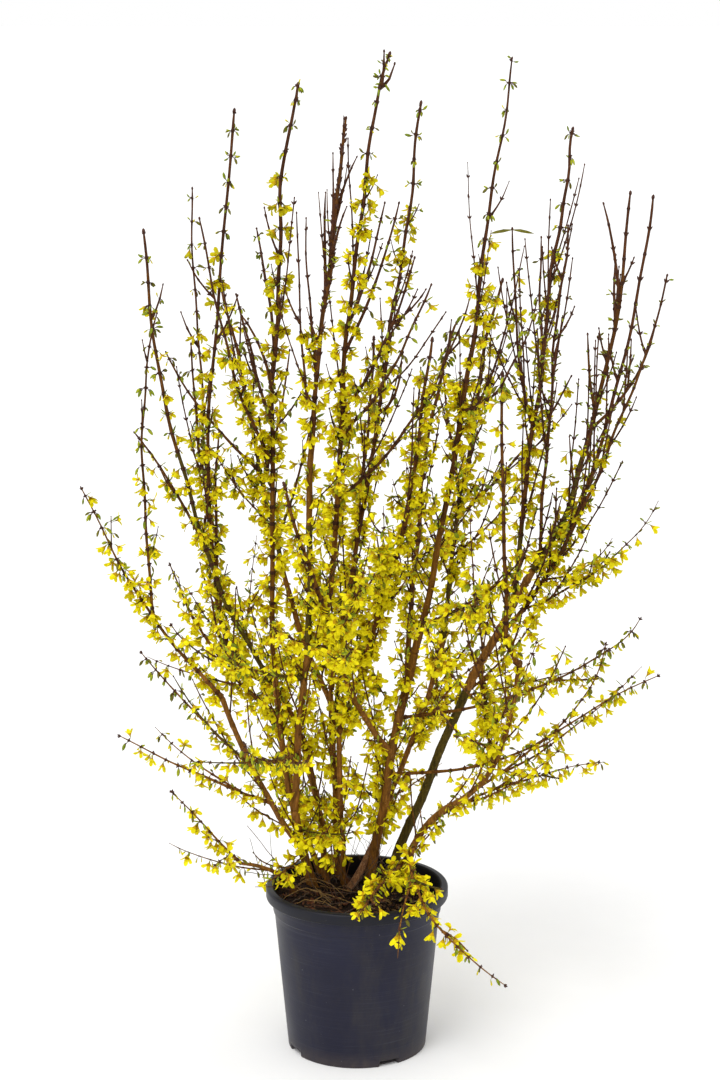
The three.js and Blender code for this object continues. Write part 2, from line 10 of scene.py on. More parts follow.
import bpy
import numpy as np
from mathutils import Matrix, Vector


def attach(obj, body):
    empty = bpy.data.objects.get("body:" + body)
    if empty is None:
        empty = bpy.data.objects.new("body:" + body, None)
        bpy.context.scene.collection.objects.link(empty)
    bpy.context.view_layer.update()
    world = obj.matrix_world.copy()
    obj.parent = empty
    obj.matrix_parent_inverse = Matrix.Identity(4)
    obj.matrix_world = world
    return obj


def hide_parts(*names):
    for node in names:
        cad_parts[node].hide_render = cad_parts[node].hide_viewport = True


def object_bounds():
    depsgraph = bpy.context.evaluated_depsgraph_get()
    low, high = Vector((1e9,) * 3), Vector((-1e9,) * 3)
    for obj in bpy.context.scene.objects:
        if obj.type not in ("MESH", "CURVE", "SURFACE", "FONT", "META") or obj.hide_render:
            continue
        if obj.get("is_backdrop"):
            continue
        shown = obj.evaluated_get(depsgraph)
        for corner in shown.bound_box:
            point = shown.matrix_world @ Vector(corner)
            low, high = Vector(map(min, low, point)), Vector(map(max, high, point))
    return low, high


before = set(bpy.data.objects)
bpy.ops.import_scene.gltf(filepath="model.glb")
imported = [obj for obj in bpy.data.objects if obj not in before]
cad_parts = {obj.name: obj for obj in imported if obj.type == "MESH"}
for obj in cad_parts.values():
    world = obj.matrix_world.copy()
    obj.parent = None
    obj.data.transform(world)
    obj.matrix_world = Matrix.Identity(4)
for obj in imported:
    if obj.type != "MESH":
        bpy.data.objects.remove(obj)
CAD_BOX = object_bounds()

MM = 0.001
TAU = 2 * math.pi
UP = np.array([0.0, 0.0, 1.0])
REACH = [np.array(corner) / MM for corner in CAD_BOX]  # the model's box: its corners in millimetres

# ---- The source's driving dimensions, in millimetres ----

POT = {
    "height": 280, "foot_radius": 116, "wall_top_radius": 138, "shoulder_radius": 142,
    "shoulder_height": 237, "rim_radius": 152, "mouth_radius": 138.5, "lip_height": 19, "wall": 3,
    "floor": 4,
}
NOTCH = {"count": 4, "width": 35, "height": 9, "depth": 8, "turn": -1.09}
SOIL = {"top": 250}
GAP = 0.35

LIMB = {"step_length": 55, "flare": 0.3, "flare_height": 20}
CANE = {"step_length": 120, "leader_radii": (4.1, 2.2), "branch_radii": (2.9, 1.5)}
TWIG = {
    "kind": "twig", "seed": 99, "spacing": 104, "chance": 0.6, "length": (50, 115), "shortening": 0.35,
    "forwards": 1.8, "upwards": 0.35, "sweep": 0.12, "radii": (1.9, 1.2), "spare": 3,
}
BLOOM = {"full": 1080, "end": 1500, "least": 0.12}

# Limbs, each after the one that it grows from: name, where it starts, tip, sweep, radii at foot and tip.
# A stem starts on the soil at (x, y), and a bough on an earlier limb, at a share of its length.
LIMBS = [
    ("stem_left", (-73, 42), (-104, 12, 405), 0.1, (8.4, 7.2)),
    ("stem_centre_left", ("stem_left", 1), (-80, -10, 680), -0.15, (6.2, 5.2)),
    ("bough_tall_left", ("stem_left", 0.93), (-140, 30, 695), 0.2, (5.2, 4.4)),
    ("bough_left", ("stem_left", 0.6), (-220, -40, 615), 0.1, (5, 4.4)),
    ("bough_centre_left", ("stem_centre_left", 1), (-70, -50, 1065), -0.2, (5.2, 4.8)),
    ("bough_centre", ("stem_centre_left", 0.97), (-35, 50, 875), 0.3, (5, 4.4)),
    ("stem_rear_left", (-52, 66), (-150, 100, 605), -0.3, (5.8, 4.6)),
    ("stem_rear", (-30, 92), (-45, 150, 575), 0.2, (5.6, 4.5)),
    ("stem_inner", (-22, 70), (-30, 30, 535), 0.2, (4.6, 4.3)),
    ("stem_short", (-12, 52), (60, 110, 410), 0.1, (6.8, 5)),
    ("stem_main", (20, 80), (95, 0, 680), -0.05, (8.4, 6.6)),
    ("bough_tall_right", ("stem_main", 1), (160, -10, 1020), 0.05, (6.4, 4.9)),
    ("bough_front", ("stem_main", 0.55), (-20, -90, 665), 0.1, (4.8, 4.3)),
    ("stem_right", (50, 82), (290, 40, 810), -0.06, (8.2, 6.2)),
    ("stem_low_right", (68, 52), (160, -60, 440), -0.2, (6.4, 4.8)),
    ("bough_low_right", ("stem_low_right", 1), (260, -110, 690), 0.3, (4.7, 4.3)),
    ("stem_low_left", (-95, 0), (-190, -70, 340), -0.25, (4.8, 4.3)),
    ("stem_back", (-60, 95), (-150, 210, 520), 0, (5.2, 4.4)),
    ("bough_back_left", ("stem_rear", 0.95), (-130, 270, 760), 0.1, (4.5, 4.3)),
    ("bough_back_right", ("stem_short", 1), (150, 250, 640), 0.1, (4.8, 4.3)),
]

# Masses of blossom: name, the leader's start, tip, sweep and bow, then the canes that branch from it:
# the number of the cane that each leaves, at a share of its length, its tip, sweep and bow.
MASSES = [
    ("blossom_left_outer", ("bough_left", 1), (-440, -60, 965), 0.1, 0, [
        (0, 0.45, (-310, -110, 1250), -0.25, -15),
    ]),
    ("blossom_left_low", ("bough_left", 0.35), (-385, -90, 565), 0.05, 0, [
        (0, 0.2, (-335, 40, 540), 0.1, 0),
    ]),
    ("blossom_left_middle", ("bough_left", 0.6), (-360, 60, 665), 0.05, 0, []),
    ("blossom_front_left", ("stem_centre_left", 0.8), (-290, -170, 770), 0.25, 0, [
        (0, 0.3, (-260, -230, 840), 0.05, 0),
        (0, 0.25, (-215, -260, 770), 0.15, 0),
    ]),
    ("blossom_tall_left", ("bough_tall_left", 1), (-90, 0, 1595), -0.4, 0, [
        (0, 0.35, (-165, 190, 1355), -0.05, 0),
        (0, 0.25, (-180, -230, 1290), 0.05, 0),
        (0, 0.3, (-185, 60, 1225), -0.15, 0),
        (0, 0.2, (-245, -60, 1390), 0.15, 0),
    ]),
    ("blossom_upper_left", ("stem_rear_left", 1), (-195, 100, 1550), 0.5, -60, [
        (0, 0.3, (-280, 270, 1415), 0.2, 0),
        (1, 0.4, (-270, 60, 1180), 0.2, 0),
        (0, 0.4, (-235, 200, 1015), -0.25, 0),
    ]),
    ("blossom_left_high", ("stem_rear_left", 0.85), (-345, 60, 1360), 0.15, -20, [
        (0, 0.35, (-370, 140, 1020), -0.1, 0),
    ]),
    ("blossom_centre_left", ("bough_centre_left", 1), (-15, -80, 1545), -0.05, 0, [
        (0, 0.6, (-35, -120, 1495), 0.5, 0),
        (0, 0.4, (-50, -40, 1430), -0.4, 0),
        (0, 0.15, (-75, -230, 1405), 0.2, 0),
        (0, 0.07, (-90, -130, 1405), 0.5, 0),
        (0, 0.65, (0, -40, 1485), -0.1, 0),
        (0, 0.55, (-15, -200, 1420), 0, 0),
    ]),
    ("blossom_crown", ("bough_centre", 1), (50, 60, 1640), -0.2, 0, [
        (0, 0.9, (43, 30, 1645), 0.4, 0),
        (0, 0.9, (60, 85, 1625), 0.25, 0),
        (0, 0.35, (45, 230, 1395), 0.15, 0),
        (0, 0.3, (65, 10, 1410), 0.1, 0),
        (0, 0.15, (110, -230, 1305), 0.1, 0),
        (0, 0.05, (190, 260, 1230), 0.2, 0),
        (0, 0.2, (85, -200, 1345), 0.15, 0),
    ]),
    ("blossom_rear_tall", ("stem_rear", 1), (110, 300, 1555), 0.05, 0, [
        (0, 0.5, (75, 230, 1125), 0.35, 0),
    ]),
    ("blossom_centre_right", ("stem_inner", 1), (115, -120, 1210), 0, 25, [
        (0, 0.2, (-90, -60, 820), 0.15, 0),
        (0, 0.35, (40, -190, 960), 0.15, 0),
    ]),
    ("blossom_inner_right", ("stem_main", 0.85), (175, 350, 1180), -0.3, 0, [
        (0, 0.25, (230, 230, 975), 0.3, 0),
        (0, 0.3, (60, 200, 930), 0.15, 0),
    ]),
    ("blossom_tall_right", ("bough_tall_right", 1), (240, -30, 1635), 0, 0, [
        (0, 0.03, (275, 150, 1330), 0.2, 0),
        (0, 0.1, (265, -290, 1290), 0.25, 0),
    ]),
    ("blossom_front_inner", ("bough_tall_right", 0.15), (270, -160, 895), 0.15, 0, [
        (0, 0.2, (195, -200, 815), 0.1, 0),
    ]),
    ("blossom_right_long", ("stem_right", 1), (440, 70, 1420), 0.25, 0, [
        (0, 0.8, (395, 60, 1405), -0.15, 0),
        (0, 0.75, (430, 200, 1310), 0.15, 0),
        (0, 0.55, (370, 20, 1200), 0.2, 0),
        (0, 0.5, (475, 0, 1215), 0.2, 0),
        (0, 0.05, (320, -190, 1390), -0.15, 0),
    ]),
    ("blossom_right_upright", ("stem_right", 0.88), (360, 220, 1515), -0.2, 12, [
        (0, 0.3, (250, 60, 1365), 0.3, 0),
        (0, 0.4, (315, 320, 1330), 0.15, 0),
    ]),
    ("blossom_right_outer", ("stem_right", 0.75), (455, -90, 1425), 0.25, 0, [
        (0, 0.4, (470, -180, 1315), 0.1, 0),
        (0, 0.15, (460, -220, 975), 0.15, 0),
        (0, 0.25, (400, -140, 900), 0.2, 0),
    ]),
    ("blossom_right_middle", ("stem_main", 0.7), (470, 60, 725), 0.3, 0, [
        (0, 0.1, (265, -20, 710), -0.15, 0),
    ]),
    ("blossom_right_under", ("stem_main", 0.46), (405, -40, 705), 0.4, 0, []),
    ("blossom_right_low", ("stem_low_right", 0.55), (480, -120, 675), -0.05, 0, [
        (0, 0.35, (460, -60, 670), 0.1, 0),
        (0, 0.15, (320, -220, 580), 0.1, 0),
        (0, 0.1, (385, -240, 565), -0.1, 0),
    ]),
    ("blossom_right_switch", ("bough_low_right", 1), (225, -150, 1160), 0.5, 0, []),
    ("blossom_rim_left", ("stem_low_left", 1), (-300, -120, 480), 0, 0, [
        (0, 0.08, (-230, -170, 370), -0.4, 0),
    ]),
    ("blossom_rim_right", ("stem_low_right", 0.45), (235, -250, 200), 0.3, -80, [
        (0, 0.25, (65, -230, 240), 0.3, 0),
    ]),
    ("blossom_rim_front", ("stem_low_right", 0.25), (0, -200, 290), 0.5, 0, []),
    ("blossom_front_middle", ("bough_front", 1), (-110, -270, 1010), 0, 0, [
        (0, 0.2, (20, -300, 930), 0.15, 0),
        (0, 0.15, (-140, -270, 800), 0.15, 0),
        (0, 0.1, (-10, -330, 770), 0.15, 0),
    ]),
    ("blossom_front_right", ("bough_low_right", 0.45), (170, -330, 970), 0.1, 0, [
        (0, 0.3, (90, -340, 850), 0.15, 0),
        (0, 0.2, (270, -340, 790), 0.15, 0),
        (0, 0.1, (120, -330, 690), 0.15, 0),
    ]),
    ("blossom_front_low", ("stem_centre_left", 0.3), (-170, -320, 620), 0.2, 0, [
        (0, 0.3, (-70, -330, 600), 0.1, 0),
        (0, 0.35, (-260, -220, 560), 0.1, 0),
    ]),
    ("blossom_back_left", ("bough_back_left", 1), (-235, 390, 1230), 0, 0, [
        (0, 0.3, (-120, 420, 1120), 0.1, 0),
        (0, 0.35, (-330, 320, 1130), 0.1, 0),
        (0, 0.1, (-80, 340, 1010), 0.1, 0),
        (0, 0.15, (-270, 420, 960), 0.1, 0),
    ]),
    ("blossom_back_right", ("bough_back_right", 1), (250, 370, 1250), -0.1, 0, [
        (0, 0.35, (150, 430, 1120), 0.1, 0),
        (0, 0.3, (370, 310, 1090), 0.1, 0),
        (0, 0.15, (80, 370, 960), 0.1, 0),
        (0, 0.2, (320, 420, 930), 0.15, 0),
    ]),
    ("blossom_back_middle", ("stem_rear", 0.8), (30, 360, 1150), 0.1, 0, [
        (0, 0.3, (-50, 420, 900), 0.1, 0),
        (0, 0.2, (90, 390, 820), 0.15, 0),
    ]),
    ("blossom_back_low_left", ("stem_back", 1), (-330, 300, 760), 0.15, 0, [
        (0, 0.3, (-180, 400, 790), 0.15, 0),
        (0, 0.2, (-360, 200, 620), 0.1, 0),
        (0, 0.1, (-90, 370, 640), 0.1, 0),
    ]),
    ("blossom_back_low_right", ("bough_back_right", 0.5), (350, 300, 730), 0.2, 0, [
        (0, 0.3, (250, 410, 740), 0.15, 0),
        (0, 0.2, (400, 210, 600), 0.1, 0),
        (0, 0.1, (140, 400, 640), 0.1, 0),
    ]),
    ("blossom_rim_back", ("stem_short", 0.6), (50, 320, 450), 0.3, 0, [
        (0, 0.3, (150, 290, 400), 0.1, 0),
        (0, 0.3, (-60, 300, 430), 0.1, 0),
    ]),
]

# How far up the flowers reach on each mass, where it isn't as BLOOM says: the heights at which they
# begin to thin out, and end.
HABITS = {
    "blossom_tall_left": (1400, 1590), "blossom_upper_left": (1300, 1460),
    "blossom_left_high": (1100, 1270), "blossom_left_outer": (800, 1200),
    "blossom_centre_left": (1090, 1290), "blossom_crown": (1360, 1530),
    "blossom_rear_tall": (1340, 1480), "blossom_centre_right": (1030, 1260),
    "blossom_inner_right": (1030, 1250), "blossom_tall_right": (1320, 1405),
    "blossom_right_upright": (1180, 1340), "blossom_right_long": (900, 1140),
    "blossom_right_outer": (900, 1180), "blossom_left_middle": (480, 610),
    "blossom_rim_left": (400, 480), "blossom_right_middle": (630, 740),
    "blossom_right_under": (610, 710), "blossom_right_low": (610, 700),
    "blossom_front_low": (470, 640),
}
TIGHT_HABIT = ("blossom_centre_left", "blossom_right_long", "blossom_right_outer")  # no buds on stalks
LEAST_BLOOM = 0.03
BARE = ((0, 1), "tight")  # the heights and habit of a shoot without flowers
BARE_TOPS = {"from": 1100, "below_tip": (330, 90)}
BARE_TWIGS = {"from": 980, "all": 1180, "most": 0.9}  # heights where side twigs begin to have no flowers

# What each kind of shoot is like: the gaps between its pairs of buds, low down on the plant and high up;
# the most flowers beyond the first at a node, and how likely each one is; how far from its tip they thin
# out; which step of the ladder of barks it starts on; its spurs; and its mesh's sides and steps.
KINDS = {
    "limb": {"gaps": (36, 36), "cluster": (3, 0.5), "tip_fade": 1, "bark": 0, "spurs": 0},
    "leader": {
        "gaps": (24, 41), "cluster": (5, 0.68), "tip_fade": 110, "bark": 0.5, "spurs": 4,
        "sides": 8, "step": 16,
    },
    "cane": {
        "gaps": (22, 40), "cluster": (4, 0.55), "tip_fade": 120, "bark": 0.7, "spurs": 2,
        "sides": 7, "step": 16,
    },
    "twig": {
        "gaps": (20, 30), "cluster": (3, 0.45), "tip_fade": 30, "bark": 1, "spurs": 0, "sides": 6, "step": 14,
    },
    "shoot": {
        "gaps": (17, 24), "cluster": (3, 0.4), "tip_fade": 20, "bark": 1.2, "spurs": 0,
        "sides": 5, "step": 14,
    },
    "switch": {
        "gaps": (24, 32), "cluster": (0, 0), "tip_fade": 90, "bark": 1.5, "spurs": 0, "sides": 5, "step": 14,
    },
}
NODE = {"low": 600, "high": 1450, "first": 0.45, "last": 6, "swell": 0.45, "swell_length": 2.4}
LOW_CANES = {"tip": 1000, "slimmer": 0.45, "thin": 0.72}  # they are slimmer at their tips, and all along
THIN = {"blossom_rim_left": 0.6, "blossom_left_outer": 0.85}
LEADER_RADII = {"blossom_tall_right": (4.7, 2.3), "blossom_right_long": (5.8, 2.2)}  # thicker than CANE's
SLIMMER = {  # by what share at the tip
    "bough_tall_right": 0.2, "blossom_tall_right": 0.38, "blossom_centre_left": 0.25, "stem_low_left": 0.42,
}
SPARSE = {  # the share of their flowers that masses and limbs have, where it is less than 1
    "blossom_right_low": 0.03, "blossom_right_under": 0.03, "blossom_right_middle": 0.05,
    "blossom_right_long": 0.45, "blossom_right_upright": 0.5, "blossom_right_outer": 0.4,
    "blossom_right_switch": 0.1, "blossom_inner_right": 0.7, "blossom_left_low": 0.05,
    "blossom_left_middle": 0.04, "blossom_left_outer": 0.35, "blossom_left_high": 0.25,
    "blossom_upper_left": 0.4, "blossom_rear_tall": 0.7, "blossom_front_left": 0.08,
    "blossom_front_right": 0.4, "blossom_front_inner": 0.45, "blossom_front_low": 0.15,
    "blossom_front_middle": 0.6, "blossom_rim_right": 0.35, "blossom_rim_left": 0.25,
    "blossom_rim_front": 0.6, "blossom_rim_back": 0.4, "blossom_back_left": 0.8,
    "blossom_back_right": 0.7, "blossom_back_middle": 0.9, "blossom_back_low_left": 0.55,
    "blossom_back_low_right": 0.5, "stem_inner": 0.6, "stem_rear": 0.8, "stem_rear_left": 0.8,
    "stem_short": 0.6, "stem_low_right": 0.2, "stem_low_left": 0.3, "bough_low_right": 0.15,
    "bough_left": 0.15, "bough_front": 0.5,
}

# Shoots that are finer than the source's, by rules like TWIG's: each place along a cane or limb is moved
# by up to the jitter, and lengths with a skew over 1 are mostly short.
SHOOT = {
    "kind": "shoot", "spacing": 50, "jitter": 0.3, "chance": 0.6, "length": (24, 85), "skew": 1.5,
    "shortening": 0.4, "radii": (1.3, 0.9), "forwards": 1.8, "upwards": 0.3, "sweep": 0.12, "seed": 7,
    "lowest": 310, "outside": 6, "least": 0.05, "flowers_below": 60,
}
SWITCH = {
    "kind": "switch", "spacing": 74, "jitter": 0.4, "chance": 0.75, "length": (80, 250), "radii": (1.6, 1.1),
    "forwards": 3.6, "upwards": 1.2, "sweep": 0.08, "seed": 9,
    "lowest": 620, "highest": 1310, "under_tip": 40,
}
SWITCH_SHARE = {  # masses with fewer of them, or more
    "blossom_upper_left": 0.2, "blossom_left_high": 0.1, "blossom_left_outer": 0, "blossom_tall_left": 0.9,
    "blossom_right_long": 1.9, "blossom_right_outer": 1.7, "blossom_right_upright": 2.2, "blossom_crown": 1.3,
    "blossom_tall_right": 1.5, "blossom_inner_right": 1.6, "blossom_back_right": 1.5,
    "blossom_centre_right": 1.4,
}
LIMB_SHOOT = {
    "kind": "shoot", "spacing": 34, "jitter": 0.4, "length": (34, 120), "skew": 1.5, "radii": (1.3, 0.9),
    "forwards": 1.3, "upwards": 0, "sweep": 0.12, "seed": 8, "lowest": 330, "highest": 950,
    "least": 0.3, "fullness": 0.5,
}
THIN_SHOOT = {  # long thin shoots with few flowers, which stand between the stems
    "kind": "switch", "spacing": 52, "jitter": 0.4, "chance": 0.75, "length": (80, 240), "radii": (1.5, 1),
    "forwards": 2, "upwards": 0.8, "sweep": 0.1, "seed": 10, "lowest": 285, "highest": 640, "fullness": 0.1,
}
STRAND = {  # thin shoots that stand close against the flat cane
    "shares": (0.42, 0.78), "count": 8, "reach": (0.14, 0.24), "aside": ((-15, -9, 0), (15, 9, 20)),
    "sweep": 0.1, "seed": 13,
}
# A cane that grew flat, like a ribbon seen from the front: widest at one height, by this share.
FLAT_CANE = {
    "mass": "blossom_centre_left", "widest": 1400, "spread": 150, "wider": 0.7, "buds": 120, "leafy": 1390,
    "leaf_chance": 0.6,
}
SPRIG = {"sweep": 0.25, "radii": (1.5, 1), "heights": (1000, 1100), "seed": 14}
SPRIGS = [  # short shoots with a place of their own: limb, share of its length, tip, how full of flowers
    ("stem_left", 0.5, (-142, -106, 322), 0.3),
    ("stem_left", 0.35, (-171, -50, 351), 0),
    ("stem_rear_left", 0.3, (-38, -30, 312), 0.3),
    ("stem_left", 0.8, (-8, -52, 388), 0.8),
    ("stem_left", 0.7, (-42, -50, 402), 0.6),
]
WANDER = {"share": 0.005, "most": 2.4, "wave": 310}
PETAL = {"length": 15.7, "half_width": 4.05, "foot_radius": 1.6, "foot_height": 5}
PETAL_ROWS = ((0, 0.44), (0.3, 0.88), (0.74, 1), (1, 0.44))  # share of length, share of width
CAMERA = {"place": (5, -3918, 1700), "pitch": 78.01, "lens": 82.2, "sensor": 36}

# Where each run of random numbers starts, apart from those that a rule names above.
SEEDS = {
    "limbs": 3, "masses": 5, "regions": 11, "stems": 12, "shapes": 23, "soil": 41, "litter": 57, "shown": 71,
    "canes": 100,
}
ANGLE_STEPS = 1e4  # a side shoot's own seed counts its angle in these


# ---- Numbers and directions ----

def random_from(seed):
    """Random numbers from 0 to 1 that are the same for the same seed, as in the source (mulberry32)."""
    state = seed & 0xFFFFFFFF

    def imul(a, b):
        return (a * b) & 0xFFFFFFFF

    def draw():
        nonlocal state
        state = (state + 0x6D2B79F5) & 0xFFFFFFFF
        mixed = imul(state ^ (state >> 15), state | 1)
        mixed ^= (mixed + imul(mixed ^ (mixed >> 7), mixed | 61)) & 0xFFFFFFFF
        return (mixed ^ (mixed >> 14)) / 4294967296

    return draw


def lerp(a, b, share):
    return a + (b - a) * share


def unit(v):
    return v / np.linalg.norm(v, axis=-1, keepdims=True)


def smooth(x):
    x = np.clip(x, 0, 1)
    return x * x * (3 - 2 * x)


def rotation(about_x, about_y, about_z):
    """A turn about X, then Y, then Z, in radians."""
    (a, b), (c, d), (e, f) = ((math.cos(t), math.sin(t)) for t in (about_x, about_y, about_z))
    x = np.array([[1, 0, 0], [0, a, -b], [0, b, a]])
    y = np.array([[c, 0, d], [0, 1, 0], [-d, 0, c]])
    z = np.array([[e, -f, 0], [f, e, 0], [0, 0, 1]])
    return z @ y @ x


# ---- Curves ----

class Bend:
    """The one bend of a limb or cane, from start to tip. Bow moves its middle sideways, along X."""

    def __init__(self, start, tip, sweep, bow=0):
        start, tip = np.array(start, float), np.array(tip, float)
        reach = tip - start
        knee = start + reach * (0.5 + sweep, 0.5 + sweep, 0.5 - sweep)
        knee[0] += 2 * bow
        self.start, self.knee, self.tip = start, knee, tip
        self.shares = np.linspace(0, 1, 201)
        steps = np.linalg.norm(np.diff(self.at(self.shares), axis=0), axis=1)
        self.lengths = np.concatenate([[0], np.cumsum(steps)])
        self.length = self.lengths[-1]

    def at(self, share):
        share = np.asarray(share, float)[..., None]
        back, on = 1 - share, share
        return back**2 * self.start + 2 * back * on * self.knee + on**2 * self.tip

    def share_at(self, length):
        """The share of the bend's parameter at a length along it, which runs faster where it bends less."""
        return np.interp(length, self.lengths, self.shares)

    def along(self, share):
        share = np.asarray(share, float)[..., None]
        return unit((1 - share) * (self.knee - self.start) + share * (self.tip - self.knee))

    def side(self):
        """A direction square to the whole curve, which lies in one plane."""
        chord = self.tip - self.start
        side = np.cross(self.knee - self.start, chord)
        if np.linalg.norm(side) < 1e-3 * (chord @ chord):
            side = np.cross(chord, (1, 0, 0))
        return unit(side)

    def sideways(self, share, angle):
        """A direction that leaves the curve sideways, turned about it by an angle."""
        side = self.side()
        across = np.cross(side, self.along(share))
        return side * math.cos(angle) + across * math.sin(angle)


def steps_of(curve, step_length):
    return max(2, math.floor(curve.length / step_length + 0.5))


class Shoot:
    """A limb, cane or twig: its curve, its radii, and its real line, which wanders about the curve.

    Its foot sits on its parent's real line, so it starts with the parent's `offset` there."""

    def __init__(self, name, curve, radii, steps, offset, seed, kind):
        self.name, self.curve, self.radii, self.steps = name, curve, radii, steps
        self.offset, self.kind = np.array(offset, float), kind
        draws = np.random.default_rng(seed)
        self.phases = draws.uniform(0, TAU, 4)
        self.reach = min(WANDER["most"], WANDER["share"] * curve.length)
        self.held = 1.0 if kind == "limb" else 0.0  # a limb's tip stays where the source has it
        self.fade = HABITS.get(name, (BLOOM["full"], BLOOM["end"]))
        self.habit = "tight" if name in TIGHT_HABIT else "hanging"
        self.fullness = SPARSE.get(name, 1)
        is_low = kind in ("leader", "cane") and curve.tip[2] < LOW_CANES["tip"]
        self.slimmer = LOW_CANES["slimmer"] if is_low else SLIMMER.get(name, 0)
        self.thin = THIN.get(name, LOW_CANES["thin"] if is_low else 1)
        self.nodes = self.place_nodes()

    def place_nodes(self):
        """How far along the pairs of buds stand, in millimetres: further apart the higher they are."""
        low_gap, high_gap = KINDS[self.kind]["gaps"]
        places, place = [], NODE["first"] * low_gap
        while place < self.curve.length - NODE["last"]:
            places.append(place)
            height = self.curve.at(self.curve.share_at(place))[2]
            place += lerp(low_gap, high_gap, smooth((height - NODE["low"]) / (NODE["high"] - NODE["low"])))
        return np.array(places)

    def radius(self, share):
        share = np.asarray(share, float)
        return self.thin * lerp(self.radii[0], self.radii[1], share) * (1 - self.slimmer * share)

    def bloom(self, height):
        """How likely a bud is to be in flower at a height."""
        full, end = self.fade
        return float(np.clip((end - height) / (end - full), LEAST_BLOOM if self.habit == "hanging" else 0, 1))

    def wander(self, share):
        share = np.asarray(share, float)
        turn = TAU * share * self.curve.length / WANDER["wave"]
        ease = smooth(share * 4) * (1 - self.held * smooth((share - 0.6) / 0.4))
        side = self.curve.side()
        across = np.cross(side, self.curve.along(0.5))
        one = np.sin(turn + self.phases[0]) + 0.5 * np.sin(2.3 * turn + self.phases[1])
        two = np.sin(0.8 * turn + self.phases[2]) + 0.5 * np.sin(1.9 * turn + self.phases[3])
        swing = self.reach * ease
        return (swing * one)[..., None] * side + (swing * two)[..., None] * across

    def at(self, share):
        share = np.asarray(share, float)
        return self.curve.at(share) + self.wander(share) + self.offset * ((1 - share) ** 2)[..., None]

    def offset_at(self, share):
        return self.at(share) - self.curve.at(share)

    def spot_on(self, share):
        """A point on the axis of the source's solid, which is straight between its steps."""
        step = min(math.floor(share * self.steps), self.steps - 1)
        ends = self.curve.at([step / self.steps, (step + 1) / self.steps])
        return lerp(ends[0], ends[1], share * self.steps - step)


# ---- The skeleton, by the source's rule ----

class Placed:
    """What is placed already, as short straight pieces with a radius and an owner."""

    def __init__(self):
        self.rows, self.owners = [], []

    def add(self, owner, pieces):
        self.rows += [np.concatenate([start, end, [radius]]) for start, end, radius in pieces]
        self.owners += [owner] * len(pieces)

    def is_clear(self, piece, spare, owner):
        """Whether a piece keeps clear of the pot and of what other owners have placed."""
        if not clear_of_pot(piece, spare):
            return False
        start, end, radius = piece
        rows = np.array(self.rows)[[o != owner for o in self.owners]]
        gaps = distances(start, end, rows[:, 0:3], rows[:, 3:6])
        return bool(np.all(gaps > radius + rows[:, 6] + spare))


def distances(a, b, c, d):
    """The least distances between one straight piece a-b and many pieces c-d."""
    u, v, w = b - a, d - c, a - c
    uu, uv, vv = u @ u, v @ u, np.einsum("ij,ij->i", v, v)
    uw, vw = w @ u, np.einsum("ij,ij->i", v, w)
    spread = uu * vv - uv * uv
    flat = spread <= 1e-9
    s = np.where(flat, 0, np.clip((uv * vw - vv * uw) / np.where(flat, 1, spread), 0, 1))
    t = np.clip((uv * s + vw) / vv, 0, 1)
    s = np.clip((uv * t - uw) / uu, 0, 1)
    return np.linalg.norm(w + s[:, None] * u - t[:, None] * v, axis=1)


def inner_radius(height):
    rise = (height - POT["floor"]) / (POT["height"] - POT["floor"])
    return lerp(POT["foot_radius"] - POT["wall"], POT["mouth_radius"], rise)


def clear_of_pot(piece, spare):
    start, end, radius = piece
    reach = radius + spare
    for share in (0, 0.25, 0.5, 0.75, 1):
        spot = lerp(start, end, share)
        out = math.hypot(spot[0], spot[1])
        inside = out + reach < inner_radius(spot[2]) and spot[2] - reach > SOIL["top"]
        if not (spot[2] - reach > POT["height"] or out - reach > POT["rim_radius"] or inside):
            return False
    return True


def pieces_along(shoot, steps):
    shares = np.arange(steps + 1) / steps
    spots = shoot.curve.at(shares)
    return [(spots[i], spots[i + 1], lerp(*shoot.radii, shares[i])) for i in range(steps)]


def grow_limbs(placed):
    limbs = {}
    for number, (name, foot, tip, sweep, radii) in enumerate(LIMBS):
        if isinstance(foot[0], str):
            parent, share = limbs[foot[0]], foot[1]
            start, offset = parent.curve.at(share), parent.offset_at(share)
        else:
            start, offset = (*foot, SOIL["top"] + GAP), (0, 0, 0)
        curve = Bend(start, tip, sweep)
        limb = Shoot(name, curve, radii, steps_of(curve, LIMB["step_length"]), offset, number, "limb")
        limb.rooted = not isinstance(foot[0], str)
        limb.carries_on = foot[1] == 1  # it starts where its parent ends
        limbs[name] = limb
        flare = LIMB["flare"] if limb.rooted else 0
        pieces = [
            (a, b, r * (1 + flare * math.exp(-(i / (2 * limb.steps)) * curve.length / LIMB["flare_height"])))
            for i, (a, b, r) in enumerate(pieces_along(limb, 2 * limb.steps))
        ]
        placed.add(name, pieces)
    return limbs


def cane_on(name, start, tip, sweep, bow, radii, offset, seed, kind):
    curve = Bend(start, tip, sweep, bow)
    return Shoot(name, curve, radii, steps_of(curve, CANE["step_length"]), offset, seed, kind)


def named_canes(mass, limbs, number):
    name, (on, share), tip, sweep, bow, rows = mass
    limb = limbs[on]
    start, offset = limb.curve.at(share), limb.offset_at(share)
    radii = LEADER_RADII.get(name, CANE["leader_radii"])
    canes = [cane_on(name, start, tip, sweep, bow, radii, offset, [number, 0], "leader")]
    if share == 1 and name not in THIN:
        canes[0].thin = 1  # it carries a bough on
    for row, (source, share, tip, sweep, bow) in enumerate(rows, 1):
        parent = canes[source]
        start, offset = parent.spot_on(share), parent.offset_at(share)
        radii = CANE["branch_radii"]
        cane = cane_on(name, start, tip, sweep, bow, radii, offset, [number, row], "cane")
        if tip[2] > BARE_TOPS["from"]:  # the tops of the high side canes are bare
            cane.fade = tuple(min(a, tip[2] - b) for a, b in zip(cane.fade, BARE_TOPS["below_tip"]))
        canes.append(cane)
    return canes


